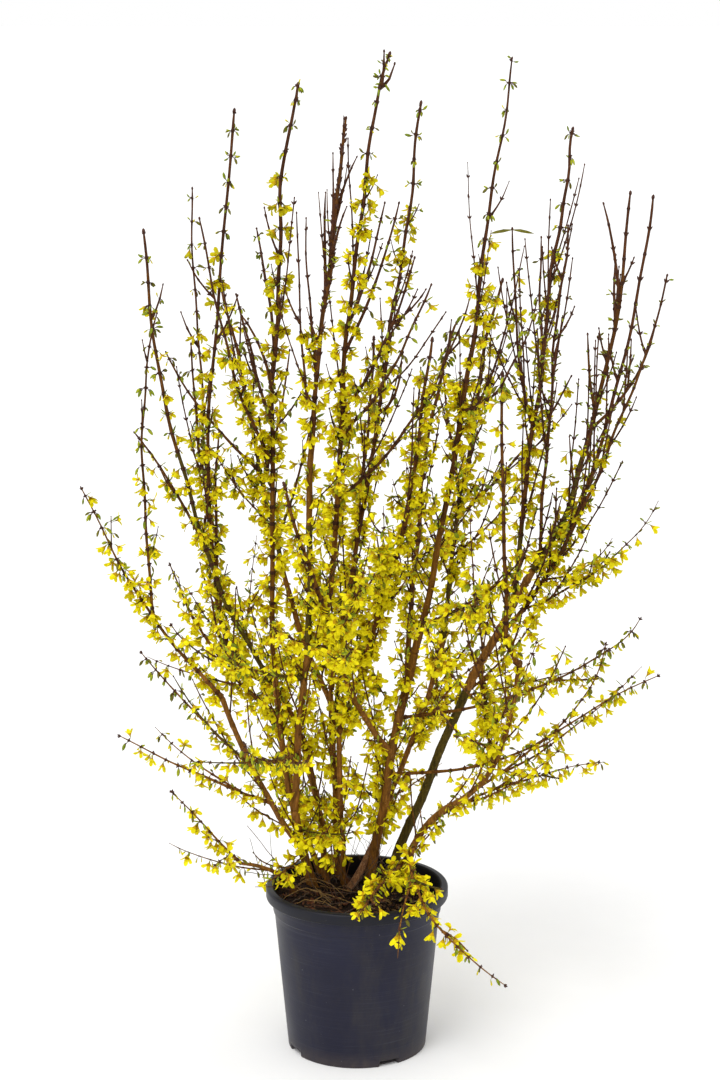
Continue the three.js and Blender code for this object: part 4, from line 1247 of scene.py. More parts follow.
def add_cane(gathered, shoot, draws):
    """A cane with a swollen ring at each node and a collar where it leaves its parent."""
    curve, nodes, kind = shoot.curve, shoot.nodes, KINDS[shoot.kind]
    even = np.linspace(0, curve.length, max(3, int(curve.length / kind["step"])))
    lengths = np.unique(np.concatenate([even, nodes - 3, nodes, nodes + 3.5]))
    lengths = lengths[(lengths >= 0) & (lengths <= curve.length)]
    lengths = lengths[np.concatenate([[True], np.diff(lengths) > 1.5])]
    swell = CANE_COLLAR["swell"] * np.exp(-lengths / CANE_COLLAR["length"])
    for node in nodes:
        swell += NODE["swell"] * np.exp(-(((lengths - node) / NODE["swell_length"]) ** 2))
    shares, sides = curve.share_at(lengths), kind["sides"]
    radii = (shoot.radius(shares) * (1 + swell))[:, None] * np.ones((1, sides))
    spots = shoot.at(shares)
    if shoot.kind == "leader" and shoot.name == FLAT_CANE["mass"]:
        radii *= flattening(spots[:, 2], sides)
    radii[-1] *= END_TAPER
    middles = (spots[1:, 2] + spots[:-1, 2]) / 2
    kinds = bark_kinds(shoot, middles, draws)
    if len(nodes):
        gaps = np.abs((lengths[1:] + lengths[:-1])[:, None] / 2 - nodes[None]).min(axis=1)
        kinds = np.where(gaps < 3, np.where(middles < KNOTS_FROM, np.maximum(kinds, RED), KNOT), kinds)
    add_tube(gathered, spots, radii, sides, curve.side(), kinds)


def bark_relief(limb, lengths, draws):
    """How far the bark of a limb stands out at each point of its grid: ridges, pores and old leaf scars."""
    along, turn = lengths[:, None], turns_of(LIMB_SIDES)[None]
    thick, total = limb.radii[0] / 10, lengths[-1]
    relief = 0.35 * thick * np.sin(2 * turn + along / 60 + draws.uniform(0, TAU))
    for _ in range(RIDGES["count"]):  # long and shallow
        waves, slope = draws.integers(*RIDGES["waves"]), TAU / draws.uniform(*RIDGES["length"])
        ridge = 1 - np.abs(np.sin(0.5 * (waves * turn + slope * along) + draws.uniform(0, TAU)))
        relief = relief + RIDGES["height"] * thick * ridge**2
    for _ in range(int(total * PORES["per_length"])):  # they stand up as small warts
        spot, angle = draws.uniform(0, total), draws.uniform(0, TAU)
        gap = np.angle(np.exp(1j * (turn - angle))) * limb.radii[0]
        near = slice(*np.searchsorted(lengths, (spot - PORES["reach"], spot + PORES["reach"])))
        bump = np.exp(-(((along[near] - spot) / PORES["length"]) ** 2) - (gap / PORES["width"]) ** 2)
        relief[near] += draws.uniform(*PORES["height"]) * thick * bump
    phase = draws.uniform(0, TAU)
    for number, spot in enumerate(np.arange(SCARS["first"], total - SCARS["last"], SCARS["gap"])):
        relief += SCARS["swell"] * limb.radii[0] * np.exp(-(((along - spot) / SCARS["swell_length"]) ** 2))
        for side in (0, TAU / 2):
            gap = np.angle(np.exp(1j * (turn - phase - side - (number % 2) * TAU / 4))) * limb.radii[0]
            bump = np.exp(-(((along - spot) / SCARS["length"]) ** 2) - (gap / SCARS["width"]) ** 2)
            relief += SCARS["height"] * thick * bump
    return relief - np.median(relief)


def add_limb(gathered, limb, draws):
    length = limb.curve.length
    sunk = SUNK / length if limb.rooted else 0
    shares = np.linspace(-sunk, 1, int(length / LIMB_STEP))
    lengths = np.interp(shares, limb.curve.shares, limb.curve.lengths)
    turn = turns_of(LIMB_SIDES)[None]
    radii = limb.radius(np.maximum(shares, 0))[:, None] * np.ones((1, LIMB_SIDES))
    if limb.rooted:
        lobes = 1 + 0.5 * np.cos(3 * turn + draws.uniform(0, TAU)) + 0.35 * np.cos(5 * turn)
        radii *= 1 + LIMB["flare"] * np.exp(-lengths / LIMB["flare_height"])[:, None] * lobes
    elif not limb.carries_on:
        radii *= 1 + LIMB_COLLAR["swell"] * np.exp(-lengths / LIMB_COLLAR["length"])[:, None]
    radii += bark_relief(limb, lengths, draws)
    radii[-1] *= END_TAPER
    spots = limb.at(shares)
    middles = (spots[1:, 2] + spots[:-1, 2]) / 2
    kinds = np.where(middles < PALE_LIMBS.get(limb.name, 0), PALE, bark_kinds(limb, middles, draws))
    add_tube(gathered, spots, radii, LIMB_SIDES, limb.curve.side(), kinds)


# ---- The pot and its compost ----

POT_SIDES = 360
SAG = 0.5  # how far the tub is out of round, and its lip out of level, at the top
COMPOST = {"rings": 80, "sides": 200, "sunk": 3, "heap": 13, "mounds": 6, "mound_width": 13, "depth": 60}
RIPPLES = ((130, 2.4), (45, 1.8), (17, 1.2), (7, 0.6))  # length and height of the compost's waves
WALL_GAP = 0.6  # between the compost and the pot

# Every tone that the litter is made of: the four kinds of chips come first.
LITTER_TONES = {
    "chip_dark": ("#1b110c", "#332016"), "chip_brown": ("#2f1d13", "#4d3421"),
    "chip_red": ("#3b2013", "#59351f"), "chip_tan": ("#553d27", "#7c5e3e"),
    "straw": ("#75592f", "#a08050"), "twig_grey": ("#3f342d", "#655648"),
    "twig_brown": ("#3c2417", "#5f3d28"), "dead_leaf": ("#4a2818", "#744529"),
}
CHIP_TONES, STRAW, TWIG_GREY, TWIG_BROWN, DEAD_LEAF = 4, 4, 5, 6, 7
CHIP = {"count": 620, "within": 0.93, "length": (3, 11), "width": (1.5, 5), "half_height": (0.4, 1.3)}
CHIP_TILT, CHIP_SKEW, CHIP_LIFT = 0.35, (0.7, 1.2), (0, 2.2)
LEAF_LITTER = {"count": 46, "within": 0.9, "lift": 3, "length": (9, 22)}
STRAWS = {  # straws and broken twigs that lie across the compost
    "count": 70, "within": 0.6, "half_length": (10, 42), "from_wall": 4, "lift": (1, 7),
    "arch": (-6, 10), "radius": (0.5, 1.5), "tones": (STRAW, DEAD_LEAF),
}
UPRIGHT_TWIGS = {  # they stand up between the stems: the corners of where they start and of how they lean
    "count": 34, "start": ((-85, -40, 254), (90, 110, 258)), "lean": ((-60, -40, 40), (60, 40, 130)),
    "arch": (-6, 6), "radius": (0.5, 0.9), "tones": (TWIG_GREY, DEAD_LEAF),
}
DEAD_TWIGS = [  # start, end, how much it arches, radius, tone
    ((-84, 20, 262), (-185, -50, 318), 8, 1.0, TWIG_GREY),
    ((-70, -5, 262), (-168, -60, 296), 4, 1.2, TWIG_BROWN),
    ((-95, -10, 262), (-181, -40, 395), 4, 0.9, TWIG_BROWN),
    ((-138, -20, 286), (-145, 0, 369), 2, 0.7, TWIG_GREY),
    ((-150, -42, 292), (-176, -60, 381), -3, 0.8, TWIG_GREY),
    ((-128, -25, 256), (-40, -30, 258), 24, 0.9, STRAW),
    ((-120, 5, 256), (-45, 25, 262), 20, 0.9, STRAW),
    ((-118, -48, 255), (-30, -62, 258), 14, 0.8, STRAW),
    ((-110, 30, 258), (-20, -20, 262), 26, 0.7, STRAW),
    ((-100, -60, 255), (-20, -95, 262), 12, 1.3, TWIG_BROWN),
    ((-60, -88, 258), (5, -100, 258), 6, 1.6, TWIG_BROWN),
    ((68, -160, 272), (66, -166, 224), 4, 0.9, TWIG_BROWN),
    ((20, 60, 256), (75, 30, 330), 6, 0.9, TWIG_GREY),
    ((-5, 40, 256), (45, 20, 318), 6, 0.8, TWIG_GREY),
    ((-20, 95, 256), (10, 60, 345), 4, 0.8, TWIG_BROWN),
    ((60, 100, 256), (5, 110, 330), 5, 0.8, TWIG_GREY),
]


def arc(middle_r, middle_z, radius, start, end, steps=4):
    """Points of a profile's rounded corner, from one angle to another, in degrees."""
    angles = np.radians(np.linspace(start, end, steps + 1))
    return [(middle_r + radius * math.cos(a), middle_z + radius * math.sin(a)) for a in angles]


def wall_radius(height):
    return lerp(POT["foot_radius"], POT["wall_top_radius"], height / POT["shoulder_height"])


def pot_profile():
    """Radius and height of each ring of the tub: up its outside to the lip, and down its inside."""
    top, lip_foot, step = POT["height"], POT["height"] - POT["lip_height"], POT["shoulder_height"]
    rim, shoulder, low = POT["rim_radius"], POT["shoulder_radius"], NOTCH["height"]
    outside = [(40, 2), (60, 0), (POT["foot_radius"] - 6, 0), *arc(wall_radius(2) - 2, 2, 2, -90, 0)]
    outside += [(wall_radius(z), z) for z in (5, low - 0.8, low + 0.8, 16, 60, 120, 180, 225, step - 1)]
    outside += [(wall_radius(step) + 0.5, step + 0.2), (shoulder - 2.2, step + 1)]
    outside += [(shoulder - 1.8, step + 2.5), (shoulder, lip_foot - 2), (shoulder + 0.8, lip_foot - 0.3)]
    outside += [(rim - 1.6, lip_foot + 0.2), (rim - 0.5, lip_foot + 1), (rim, lip_foot + 2.6)]
    outside += arc(rim - 4.5, top - 4.5, 4.5, 0, 90, 6)
    inside = arc(POT["mouth_radius"] + 3, top - 3, 3, 90, 180)
    inside += [(inner_radius(z), z) for z in (255, 200, 100, 20)]
    inside += [(inner_radius(8) - 4, POT["floor"]), (40, POT["floor"])]
    return outside, inside


def pot_angles():
    """The angles of a ring's points, closer at the edges of the notches, and which are in a notch."""
    gap = math.degrees(NOTCH["width"] / 2 / POT["foot_radius"])
    middles = [math.degrees(NOTCH["turn"]) + 360 * i / NOTCH["count"] for i in range(NOTCH["count"])]
    from_middle = [side * (gap + spare) for side in (-1, 1) for spare in (-0.25, 0.25)]
    edges = [middle + turn for middle in middles for turn in from_middle]
    even = np.arange(POT_SIDES) * 360 / POT_SIDES
    angles = np.unique(np.round(np.concatenate([even, np.mod(edges, 360)]), 3))
    beside = [np.abs((angles - middle + 180) % 360 - 180) for middle in middles]
    return np.radians(angles), np.min(beside, axis=0) < gap


def make_pot():
    """The tub: thin tapered wall, shoulder, rolled lip, and drain notches pressed into its foot."""
    outside, inside = pot_profile()
    turn, in_notch = pot_angles()
    foot, top, rings = POT["foot_radius"], POT["height"], []
    for number, (radius, height) in enumerate(outside + inside):
        radii = np.full(len(turn), float(radius))
        is_wall = number < len(outside) and foot - 7 < radius < foot + 3
        if is_wall and height < NOTCH["height"]:
            radii[in_notch] -= NOTCH["depth"] + (4 if radius < foot - 4 else 0)
        radii = radii + SAG * np.sin(2 * turn + 0.6) * height / top
        heights = height + (SAG * np.sin(3 * turn + 1) * height / top if height > 230 else 0)
        rings.append(np.stack([radii * np.cos(turn), radii * np.sin(turn), np.ones(len(turn)) * heights], -1))
    gathered = Gathered()
    add_rings(gathered, np.array(rings), np.repeat([0, 1], [len(outside), len(inside) - 1]))
    finish_piece(gathered.mesh("pot_shell", [pot_plastic(), pot_inside()]), "pot_plastic", "pot")


def ripple(x, y, draws, sizes):
    """A rough surface: waves of several lengths, each (length, height), in random directions."""
    height = np.zeros_like(x)
    for size, most in sizes:
        for _ in range(6):
            turn, phase = draws.uniform(0, TAU, 2)
            height += most / 6**0.5 * np.sin((x * np.cos(turn) + y * np.sin(turn)) * TAU / size + phase)
    return height


def soil_height(x, y, limbs):
    """The compost's surface: rough, a little sunk, heaped on one side and at the stems."""
    height = SOIL["top"] - COMPOST["sunk"] + ripple(x, y, np.random.default_rng(SEEDS["soil"]), RIPPLES)
    height = height + COMPOST["heap"] * smooth((-x - 25) / 75)
    for limb in limbs.values():
        if limb.rooted:
            gap = np.hypot(x - limb.curve.start[0], y - limb.curve.start[1]) - limb.radii[0]
            share = np.maximum(gap, 0) / COMPOST["mound_width"]
            height = height + COMPOST["mounds"] * np.exp(-(share ** 2))
    return height


def make_soil(limbs):
    count, turn = COMPOST["rings"], turns_of(COMPOST["sides"])
    radii, foot = np.linspace(inner_radius(SOIL["top"]) - WALL_GAP, 3, count), SOIL["top"] - COMPOST["depth"]
    x, y = radii[:, None] * np.cos(turn), radii[:, None] * np.sin(turn)
    top = np.stack([x, y, soil_height(x, y, limbs)], -1)
    low = [(40, foot), (inner_radius(foot) - WALL_GAP, foot)]
    under = [np.stack([r * np.cos(turn), r * np.sin(turn), np.full(len(turn), z)], -1) for r, z in low]
    gathered = Gathered()
    add_rings(gathered, np.concatenate([under, top]), np.zeros(count + 1, int))
    finish_piece(gathered.mesh("compost_top", [compost()]), "compost", "soil")


def spot_on_soil(draws, within):
    """A random place on the compost, within a share of its area."""
    distance, angle = inner_radius(SOIL["top"]) * math.sqrt(draws.uniform(0, within)), draws.uniform(0, TAU)
    return np.array([distance * math.cos(angle), distance * math.sin(angle)])


def twig_of(rule, draws):
    """How much a dead twig arches, its radius and its tone, drawn from its rule's ranges."""
    return draws.uniform(*rule["arch"]), draws.uniform(*rule["radius"]), draws.integers(*rule["tones"])


def make_litter(limbs):
    """Bark chips, dead twigs, curled dead leaves and fallen straws that lie on the compost."""
    draws = np.random.default_rng(SEEDS["litter"])
    gathered = Gathered()
    box = np.array([[x, y, z] for z in (-1, 1) for y in (-1, 1) for x in (-1, 1)], float)
    sides = np.array([[0, 2, 3, 1], [4, 5, 7, 6], [0, 1, 5, 4], [2, 6, 7, 3], [0, 4, 6, 2], [1, 3, 7, 5]])
    for _ in range(CHIP["count"]):
        length, width = draws.uniform(*CHIP["length"]), draws.uniform(*CHIP["width"])
        x, y = spot_on_soil(draws, CHIP["within"])
        spin = rotation(*draws.normal(0, CHIP_TILT, 2), draws.uniform(0, TAU))
        size = (length / 2, width / 2, draws.uniform(*CHIP["half_height"]))
        shape = box * size * draws.uniform(*CHIP_SKEW, (8, 3))
        z = soil_height(x, y, limbs) + draws.uniform(*CHIP_LIFT)
        gathered.add(shape @ spin.T + (x, y, z), sides, draws.integers(0, CHIP_TONES))
    for _ in range(LEAF_LITTER["count"]):
        x, y = spot_on_soil(draws, LEAF_LITTER["within"])
        place = (x, y, soil_height(x, y, limbs) + LEAF_LITTER["lift"])
        add_dead_leaf(gathered, place, draws.uniform(*LEAF_LITTER["length"]), draws)
    for _ in range(STRAWS["count"]):
        middle, turn = spot_on_soil(draws, STRAWS["within"]), draws.uniform(0, TAU)
        half = np.array([math.cos(turn), math.sin(turn)]) * draws.uniform(*STRAWS["half_length"])
        ends = [middle - half, middle + half]
        if any(math.hypot(*end) > inner_radius(SOIL["top"]) - STRAWS["from_wall"] for end in ends):
            continue
        spots = [(*end, soil_height(*end, limbs) + draws.uniform(*STRAWS["lift"])) for end in ends]
        add_dead_twig(gathered, *spots, *twig_of(STRAWS, draws), draws)
    for _ in range(UPRIGHT_TWIGS["count"]):
        start = draws.uniform(*UPRIGHT_TWIGS["start"])
        end = start + draws.uniform(*UPRIGHT_TWIGS["lean"])
        add_dead_twig(gathered, start, end, *twig_of(UPRIGHT_TWIGS, draws), draws)
    for row in DEAD_TWIGS:
        add_dead_twig(gathered, *row, draws)
    tones = [wood(name, *tones) for name, tones in LITTER_TONES.items()]
    finish_piece(gathered.mesh("compost_litter", tones), "compost", "soil")


def add_dead_twig(gathered, start, end, arch, radius, tone, draws):
    """A thin twig that arches between two points and bends a little on its way."""
    start, end = np.array(start, float), np.array(end, float)
    shares = np.linspace(0, 1, 9)
    spots = lerp(start, end, shares[:, None])
    spots[:, 2] += arch * 4 * shares * (1 - shares)
    spots[1:-1] += draws.normal(0, 0.9, (7, 3))
    radii = radius * (1 - 0.5 * shares) * draws.uniform(0.85, 1.2, 9)
    side = unit(np.cross(end - start, (0.3, 0.2, 1)))
    add_tube(gathered, spots, radii, 5, side, np.full(8, tone))


def add_dead_leaf(gathered, place, length, draws):
    """A curled dead leaf: a thin closed blade, rolled about its length."""
    rows, columns, thickness = 6, 7, 0.35
    count = rows * columns
    share, across = np.linspace(0, 1, rows)[:, None], np.linspace(-1, 1, columns)[None]
    half = length * 0.3 * np.sin(math.pi * (0.12 + 0.84 * share)) ** 0.8
    roll, curl = draws.uniform(0.5, 1.9), draws.uniform(-0.5, 0.9)
    x = (share - 0.5) * length + 0 * across
    y = half * np.sin(across * roll) / roll * 1.2
    z = half * (1 - np.cos(across * roll)) / roll + curl * length * (share - 0.5) ** 2 + 0 * across
    blade = np.stack([x, y, z], -1).reshape(-1, 3)
    blade += draws.normal(0, 0.25, blade.shape)
    spin = rotation(*draws.normal(0, 0.5, 2), draws.uniform(0, TAU))
    top, under = blade @ spin.T + place, (blade - (0, 0, thickness)) @ spin.T + place
    upper = grid_faces(rows, columns, closed=False)
    edge = [*range(columns), *range(2 * columns - 1, count, columns)]
    edge += [*range(count - 2, count - columns - 1, -1), *range(count - 2 * columns, 0, -columns)]
    edge, after = np.array(edge), np.roll(edge, -1)
    wall = np.stack([after, edge, edge + count, after + count], -1)
    faces = np.concatenate([upper, upper[:, ::-1] + count, wall])
    gathered.add(np.concatenate([top, under]), faces, DEAD_LEAF)


# ---- Materials ----

def rgb(code):
    """A colour code as the linear colour that a shader takes."""
    shares = [int(code[i:i + 2], 16) / 255 for i in (1, 3, 5)]
    return (*(s / 12.92 if s < 0.04045 else ((s + 0.055) / 1.055) ** 2.4 for s in shares), 1)


class Shader:
    """A material's nodes, placed on a Principled shader."""

    def __init__(self, name, roughness=0.6, specular=0.5):
        self.material = bpy.data.materials.new(name)
        self.material.use_nodes = True
        self.tree = self.material.node_tree
        self.base = self.tree.nodes["Principled BSDF"]
        self.set(self.base, {"Roughness": roughness, "Specular IOR Level": specular})
        self.place = self.tree.nodes.new("ShaderNodeTexCoord").outputs["Object"]

    def set(self, node, inputs):
        """Gives a node its inputs, each of them a value or what another node puts out."""
        for name, given in inputs.items():
            if isinstance(given, bpy.types.NodeSocket):
                self.tree.links.new(given, node.inputs[name])
            else:
                node.inputs[name].default_value = given

    def put(self, kind, inputs, output):
        """What a new node of a kind puts out."""
        node = self.tree.nodes.new("ShaderNode" + kind)
        self.set(node, inputs)
        return node.outputs[output]

    def noise(self, scale, stretch=(1, 1, 1), detail=4, roughness=0.55, distortion=0):
        """Noise from 0 to 1 over the object's place, in patches of about 1 / scale metres."""
        place = self.put("Mapping", {"Vector": self.place, "Scale": stretch}, "Vector")
        return self.put("TexNoise", {
            "Vector": place, "Scale": scale, "Detail": detail,
            "Roughness": roughness, "Distortion": distortion,
        }, "Fac")

    def ramp(self, share, stops):
        """Colours at shares: stops are (share, colour code)."""
        ramp = self.tree.nodes.new("ShaderNodeValToRGB")
        marks = ramp.color_ramp.elements
        while len(marks) < len(stops):
            marks.new(0.5)
        for mark, (position, code) in zip(marks, stops):
            mark.position, mark.color = position, rgb(code)
        self.set(ramp, {"Fac": share})
        return ramp.outputs["Color"]

    def span(self, share, low, high, to_low=0.0, to_high=1.0):
        """A number moved from one range to another, and held within it."""
        return self.put("MapRange", {
            "Value": share, "From Min": low, "From Max": high, "To Min": to_low, "To Max": to_high,
        }, "Result")

    def times(self, one, other):
        times = self.tree.nodes.new("ShaderNodeMath")
        times.operation = "MULTIPLY"
        self.set(times, {0: one, 1: other})
        return times.outputs["Value"]

    def mix(self, share, under, over):
        """Lays a colour, given as a code, over another one by a share."""
        mix = self.tree.nodes.new("ShaderNodeMix")
        mix.data_type = "RGBA"
        self.set(mix, {"Factor": share, "A": under, "B": rgb(over)})
        return mix.outputs["Result"]

    def height(self):
        return self.put("SeparateXYZ", {"Vector": self.place}, "Z")

    def relief(self, height, depth, strength=1.0):
        """Bumps of a depth in metres."""
        bumps = self.put("Bump", {"Strength": strength, "Distance": depth, "Height": height}, "Normal")
        self.set(self.base, {"Normal": bumps})

    def colour(self, output):
        self.set(self.base, {"Base Color": output})

    def rough(self, output):
        self.set(self.base, {"Roughness": output})


def pot_plastic():
    """Dark blue-black plastic: dusty runs down its wall, fine scratches round it, a soiled foot."""
    shader = Shader("pot_plastic", 0.42, 0.22)
    patches = shader.noise(9, detail=5)
    colour = shader.ramp(patches, [(0.3, "#141426"), (0.7, "#1b1c2f")])
    runs = shader.span(shader.noise(26, (1, 1, 0.3), 6, 0.7), 0.42, 0.75, 0, 0.8)
    dust = shader.times(runs, shader.span(shader.noise(9, (1, 1, 0.6), 3), 0.4, 0.6))
    colour = shader.mix(dust, colour, "#33302d")
    scratches = shader.span(shader.noise(60, (0.12, 0.12, 10), 4, 0.75), 0.54, 0.74, 0, 0.7)
    colour = shader.mix(shader.times(scratches, patches), colour, "#40414c")
    specks = shader.span(shader.noise(330, detail=0), 0.86, 0.89, 0, 0.5)
    colour = shader.mix(specks, colour, "#82818a")
    foot = shader.span(shader.height(), 0.0, 0.03, 0.6, 0)
    colour = shader.mix(shader.times(foot, shader.noise(60, detail=5)), colour, "#5c5146")
    lip = shader.span(shader.height(), 0.259, 0.263, 0, 0.7)
    colour = shader.mix(lip, colour, "#111217")
    shader.colour(colour)
    shader.rough(shader.span(patches, 0.3, 0.7, 0.36, 0.52))
    shader.relief(shader.noise(300, detail=3), 0.0003, 0.35)
    return shader.material


def pot_inside():
    """The same plastic where it is in the shade of the lip, with soil splashed on it."""
    shader = Shader("pot_inside", 0.7, 0.15)
    splashes = shader.noise(45, detail=6)
    shader.colour(shader.ramp(splashes, [(0.4, "#0c0c10"), (0.62, "#15120f"), (0.78, "#2c211a")]))
    shader.relief(splashes, 0.0006)
    return shader.material


def compost():
    shader = Shader("compost", 0.95, 0.2)
    shader.colour(shader.ramp(shader.noise(240, detail=8, roughness=0.7), [
        (0.3, "#0f0a07"), (0.5, "#20140d"), (0.66, "#352317"), (0.8, "#543a27"),
    ]))
    shader.relief(shader.noise(700, detail=5), 0.002)
    return shader.material


def wood(name, dark, light):
    """Dead wood and dead leaves, with a short grain."""
    shader = Shader(name, 0.85, 0.25)
    grain = shader.noise(420, (1, 0.3, 1), 5, 0.6)
    shader.colour(shader.ramp(grain, [(0.3, dark), (0.7, light)]))
    shader.relief(grain, 0.0006)
    return shader.material


BARKS = {  # dark grain, skin, light grain, pores
    "tan": ("#4e3211", "#7c511d", "#9e6c2d", "#b4884c"),
    "brown": ("#462b09", "#6b440f", "#865918", "#9e763a"),
    "red": ("#371f08", "#58350f", "#704518", "#8c6638"),
    "purple": ("#2d170b", "#4d2b14", "#60391d", "#7a5b3d"),
    "olive": ("#2e260c", "#4c3f13", "#64541c", "#8c7c40"),
    "pale": ("#50351f", "#855c3c", "#b08660", "#ccae87"),
    "knot": ("#28160d", "#3e2416", "#523222", "#644b34"),
}


def bark(name):
    """Thin bark: a lengthwise grain, darker patches, and pale corky pores."""
    dark, skin, light, pores = BARKS[name]
    shader = Shader("bark_" + name, 0.75, 0.12)
    grain = shader.noise(330, (1, 1, 0.14), 6, 0.62, 0.4)
    colour = shader.ramp(grain, [(0.28, dark), (0.48, skin), (0.7, light)])
    patches = shader.span(shader.noise(38, (1, 1, 0.5), 4), 0.5, 0.72, 0, 0.55)
    colour = shader.mix(patches, colour, dark)
    streaks = shader.span(shader.noise(110, (1, 1, 0.1), 4, 0.6), 0.52, 0.66, 0, 0.6)
    colour = shader.mix(streaks, colour, dark)
    dots = shader.span(shader.noise(520, (1, 1, 0.8), 1), 0.7, 0.76, 0, 0.7)
    shader.colour(shader.mix(dots, colour, pores))
    shader.relief(grain, 0.0012, 0.8)
    return shader.material


def barks():
    return [bark(name) for name in BARKS]


def soft(name, dark, light, roughness=0.7):
    """A petal, bud or leaf: soft blotches and fine veins."""
    shader = Shader(name, roughness, 0.12)
    shader.colour(shader.ramp(shader.noise(150, detail=4), [(0.3, dark), (0.68, light)]))
    shader.relief(shader.noise(900, detail=2), 0.0004, 0.4)
    return shader.material


def petal_materials():
    shades = [("#decf04", "#f3e717"), ("#d2c404", "#e7da10"), ("#b7a904", "#d2c60c"), ("#9c9206", "#bcb20c")]
    made = [soft(f"petal_{i}", dark, light) for i, (dark, light) in enumerate(shades)]
    return [*made, soft("petal_throat", "#8a650a", "#ad840e"), soft("petal_heart", "#ac8606", "#cda90c")]


def green_materials():
    tones = [("#5c6c10", "#8e9a22"), ("#7c8612", "#a8ae26"), ("#524f16", "#787322"), ("#a8a40e", "#cac420")]
    made = [soft(f"green_{i}", dark, light, 0.6) for i, (dark, light) in enumerate(tones)]
    return [*made, soft("bud_scale", "#37201a", "#5a3b2e", 0.6)]


# ---- Putting the plant together ----

REGIONS = {
    "left": MASSES[0:8], "crown": MASSES[8:13], "right_tall": MASSES[13:18],
    "right_low": MASSES[18:24], "front": MASSES[24:28], "back": MASSES[28:],
}


def make_plant():
    """Every piece of the plant. It returns the limbs, which the compost is heaped round."""
    placed = Placed()
    limbs = grow_limbs(placed)
    make_limbs(limbs)
    shoots = grow_masses(limbs, placed)
    shapes, shown = make_shapes(), Shown(limbs)
    materials = barks(), petal_materials(), green_materials()
    for number, (region, masses) in enumerate(REGIONS.items()):
        draws = np.random.default_rng([SEEDS["regions"], number])
        canes, sprays = Gathered(), Sprays(shown)
        names = [mass[0] for mass in masses]
        for name in names:
            for shoot in shoots[name]:
                make_shoot(shoot, canes, sprays, draws)
                if (name, tuple(shoot.curve.tip)) == (LONG_LEAF["mass"], LONG_LEAF["tip"]):
                    add_long_leaves(shoot, sprays)
        plant_pieces(region, names, canes, sprays, shapes, materials)
    draws = np.random.default_rng(SEEDS["stems"])
    canes, sprays = Gathered(), Sprays(shown)
    for shoot in sprigs_on(limbs):
        make_shoot(shoot, canes, sprays, draws)
    for limb in limbs.values():
        if limb.name not in BARE_LIMBS:
            dress(limb, sprays, draws)
            for shoot in limb_shoots(limb, draws) + thin_shoots(limb, draws):
                make_shoot(shoot, canes, sprays, draws)
    plant_pieces("stems", list(limbs), canes, sprays, shapes, materials)
    return limbs


def grow_masses(limbs, placed):
    """All the canes and shoots of each mass, by its name."""
    named = {mass[0]: named_canes(mass, limbs, SEEDS["canes"] + i) for i, mass in enumerate(MASSES)}
    for canes in named.values():
        for cane in canes:
            placed.add(cane.name, pieces_along(cane, cane.steps))
    shoots = {}
    for number, (name, canes) in enumerate(named.items()):
        draw, draws = random_from(number + 1), np.random.default_rng([SEEDS["masses"], number])
        twigs = [twig for cane in canes for twig in side_twigs(cane, draw, placed)]
        fine = [shoot for cane in canes for shoot in finer_shoots(cane, draws) + switches(cane, draws)]
        fine += strands(canes[0], draws) if name == FLAT_CANE["mass"] else []
        shoots[name] = [*canes, *twigs, *fine]
    return shoots


def make_shoot(shoot, canes, sprays, draws):
    add_cane(canes, shoot, draws)
    dress(shoot, sprays, draws)


def plant_pieces(region, names, canes, sprays, shapes, materials):
    """The three pieces of a region: its canes, its blossom, and its buds and leaves."""
    barks, petals, greens = materials
    finish_piece(canes.mesh("canes_" + region, barks), "bark", *names)
    finish_piece(blossom_of(sprays, shapes).mesh("blossom_" + region, petals), "blossom", *names)
    finish_piece(greens_of(sprays, shapes).mesh("buds_" + region, greens), "blossom", *names)


def make_limbs(limbs):
    draws, gathered = np.random.default_rng(SEEDS["limbs"]), Gathered()
    for limb in limbs.values():
        add_limb(gathered, limb, draws)
    finish_piece(gathered.mesh("stems_and_boughs", barks()), "bark", *limbs)


def make_shapes():
    """One shape for each kind of flower, bud and leaf, by its name and number."""
    draws, shapes = np.random.default_rng(SEEDS["shapes"]), {}
    for kind, (count, make, *spans) in SHAPES.items():
        for i in range(count):
            sizes = [draws.uniform(*span) for span in spans]
            shapes[kind, i] = make(*sizes, draws) if make is flower else make(*sizes)
    return shapes


def blossom_of(sprays, shapes):
    """The petals and throats of all the flowers: a petal's material number is its flower's shade."""
    gathered = Gathered()
    for shape, turns, places, sizes, shades in sprays.by_shape():
        if shape[0] in FLOWERS:
            points, faces, parts = shapes[shape]
            tints = np.where(parts == PETAL_KIND, shades[:, None], parts)
            add_copies(gathered, (points, faces), turns, places, sizes, tints)
    return gathered


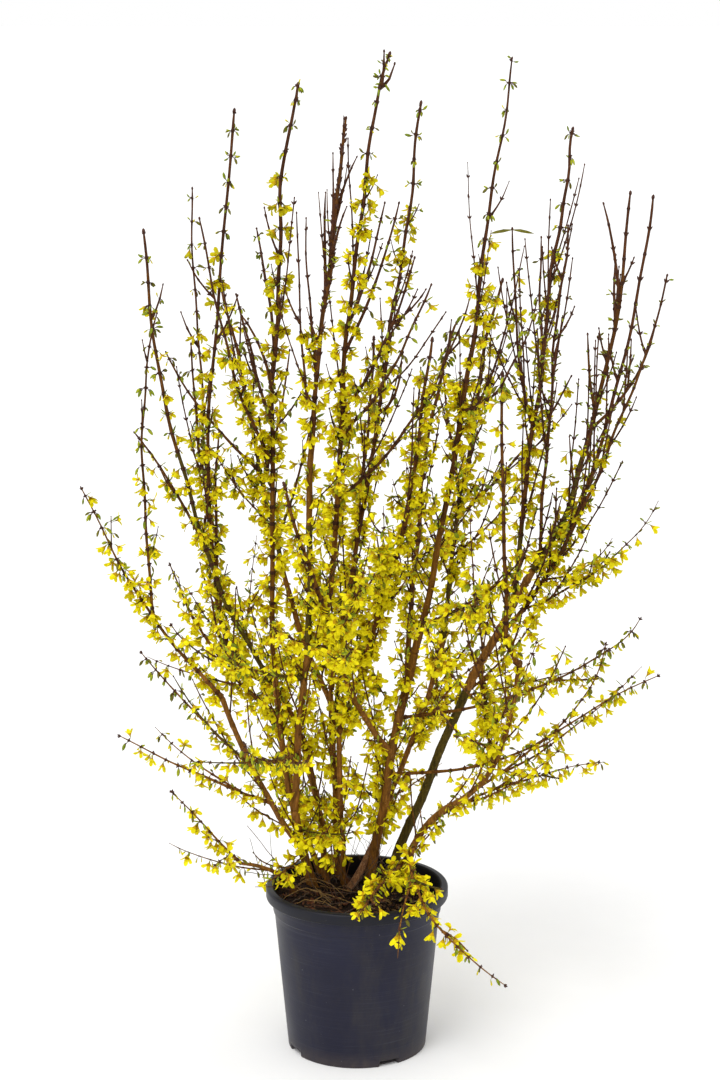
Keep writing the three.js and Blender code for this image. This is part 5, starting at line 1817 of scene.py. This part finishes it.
def greens_of(sprays, shapes):
    """The buds and leaves, and the stalk and cup of each flower."""
    gathered = Gathered()
    for shape, turns, places, sizes, shades in sprays.by_shape():
        is_flower = shape[0] in FLOWERS
        points, faces, is_stalk = stalk() if is_flower else shapes[shape]
        shades = np.full(len(places), CUP_GREEN) if is_flower else shades
        kinds = np.where(is_stalk, SCALE, shades[:, None])
        add_copies(gathered, (points, faces), turns, places, sizes, kinds)
    return gathered


# ---- Floor, light and camera ----

FLOOR_REACH = 400
SUN = {"strength": 1.3, "spread": 30, "turn": (38, 0, -30)}


def link(name, data):
    """A new object in the scene."""
    made = bpy.data.objects.new(name, data)
    bpy.context.scene.collection.objects.link(made)
    return made


def make_stage():
    """A plain pale floor, white surroundings and one soft light from the front left."""
    mesh = bpy.data.meshes.new("floor")
    corners = [(x * FLOOR_REACH, y * FLOOR_REACH, 0) for x, y in ((-1, -1), (1, -1), (1, 1), (-1, 1))]
    mesh.from_pydata(corners, [], [(0, 1, 2, 3)])
    shader = Shader("floor_paint", 0.9, 0.1)
    shader.colour(shader.ramp(shader.noise(3), [(0.3, "#f4f4f4"), (0.7, "#f8f8f8")]))
    mesh.materials.append(shader.material)
    link("floor", mesh)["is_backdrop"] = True

    world = bpy.data.worlds.new("soft_white")
    world.use_nodes = True
    world.node_tree.nodes["Background"].inputs["Color"].default_value = (1, 1, 1, 1)
    world.node_tree.nodes["Background"].inputs["Strength"].default_value = 1.0
    bpy.context.scene.world = world

    light = bpy.data.lights.new("key", "SUN")
    light.energy, light.angle = SUN["strength"], math.radians(SUN["spread"])
    link("key", light).rotation_euler = [math.radians(turn) for turn in SUN["turn"]]


def make_camera():
    lens = bpy.data.cameras.new("camera")
    lens.lens, lens.sensor_width, lens.clip_end = CAMERA["lens"], CAMERA["sensor"], 1000
    camera = link("camera", lens)
    camera.location = [place * MM for place in CAMERA["place"]]
    camera.rotation_euler = (math.radians(CAMERA["pitch"]), 0, 0)
    bpy.context.scene.camera = camera
    bpy.context.scene.view_settings.view_transform = "Standard"


make_camera()
make_stage()
grown_limbs = make_plant()
make_pot()
make_soil(grown_limbs)
make_litter(grown_limbs)

boxes = {"cad": CAD_BOX, "visual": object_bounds()}
{key: [list(corner) for corner in box] for key, box in boxes.items()}
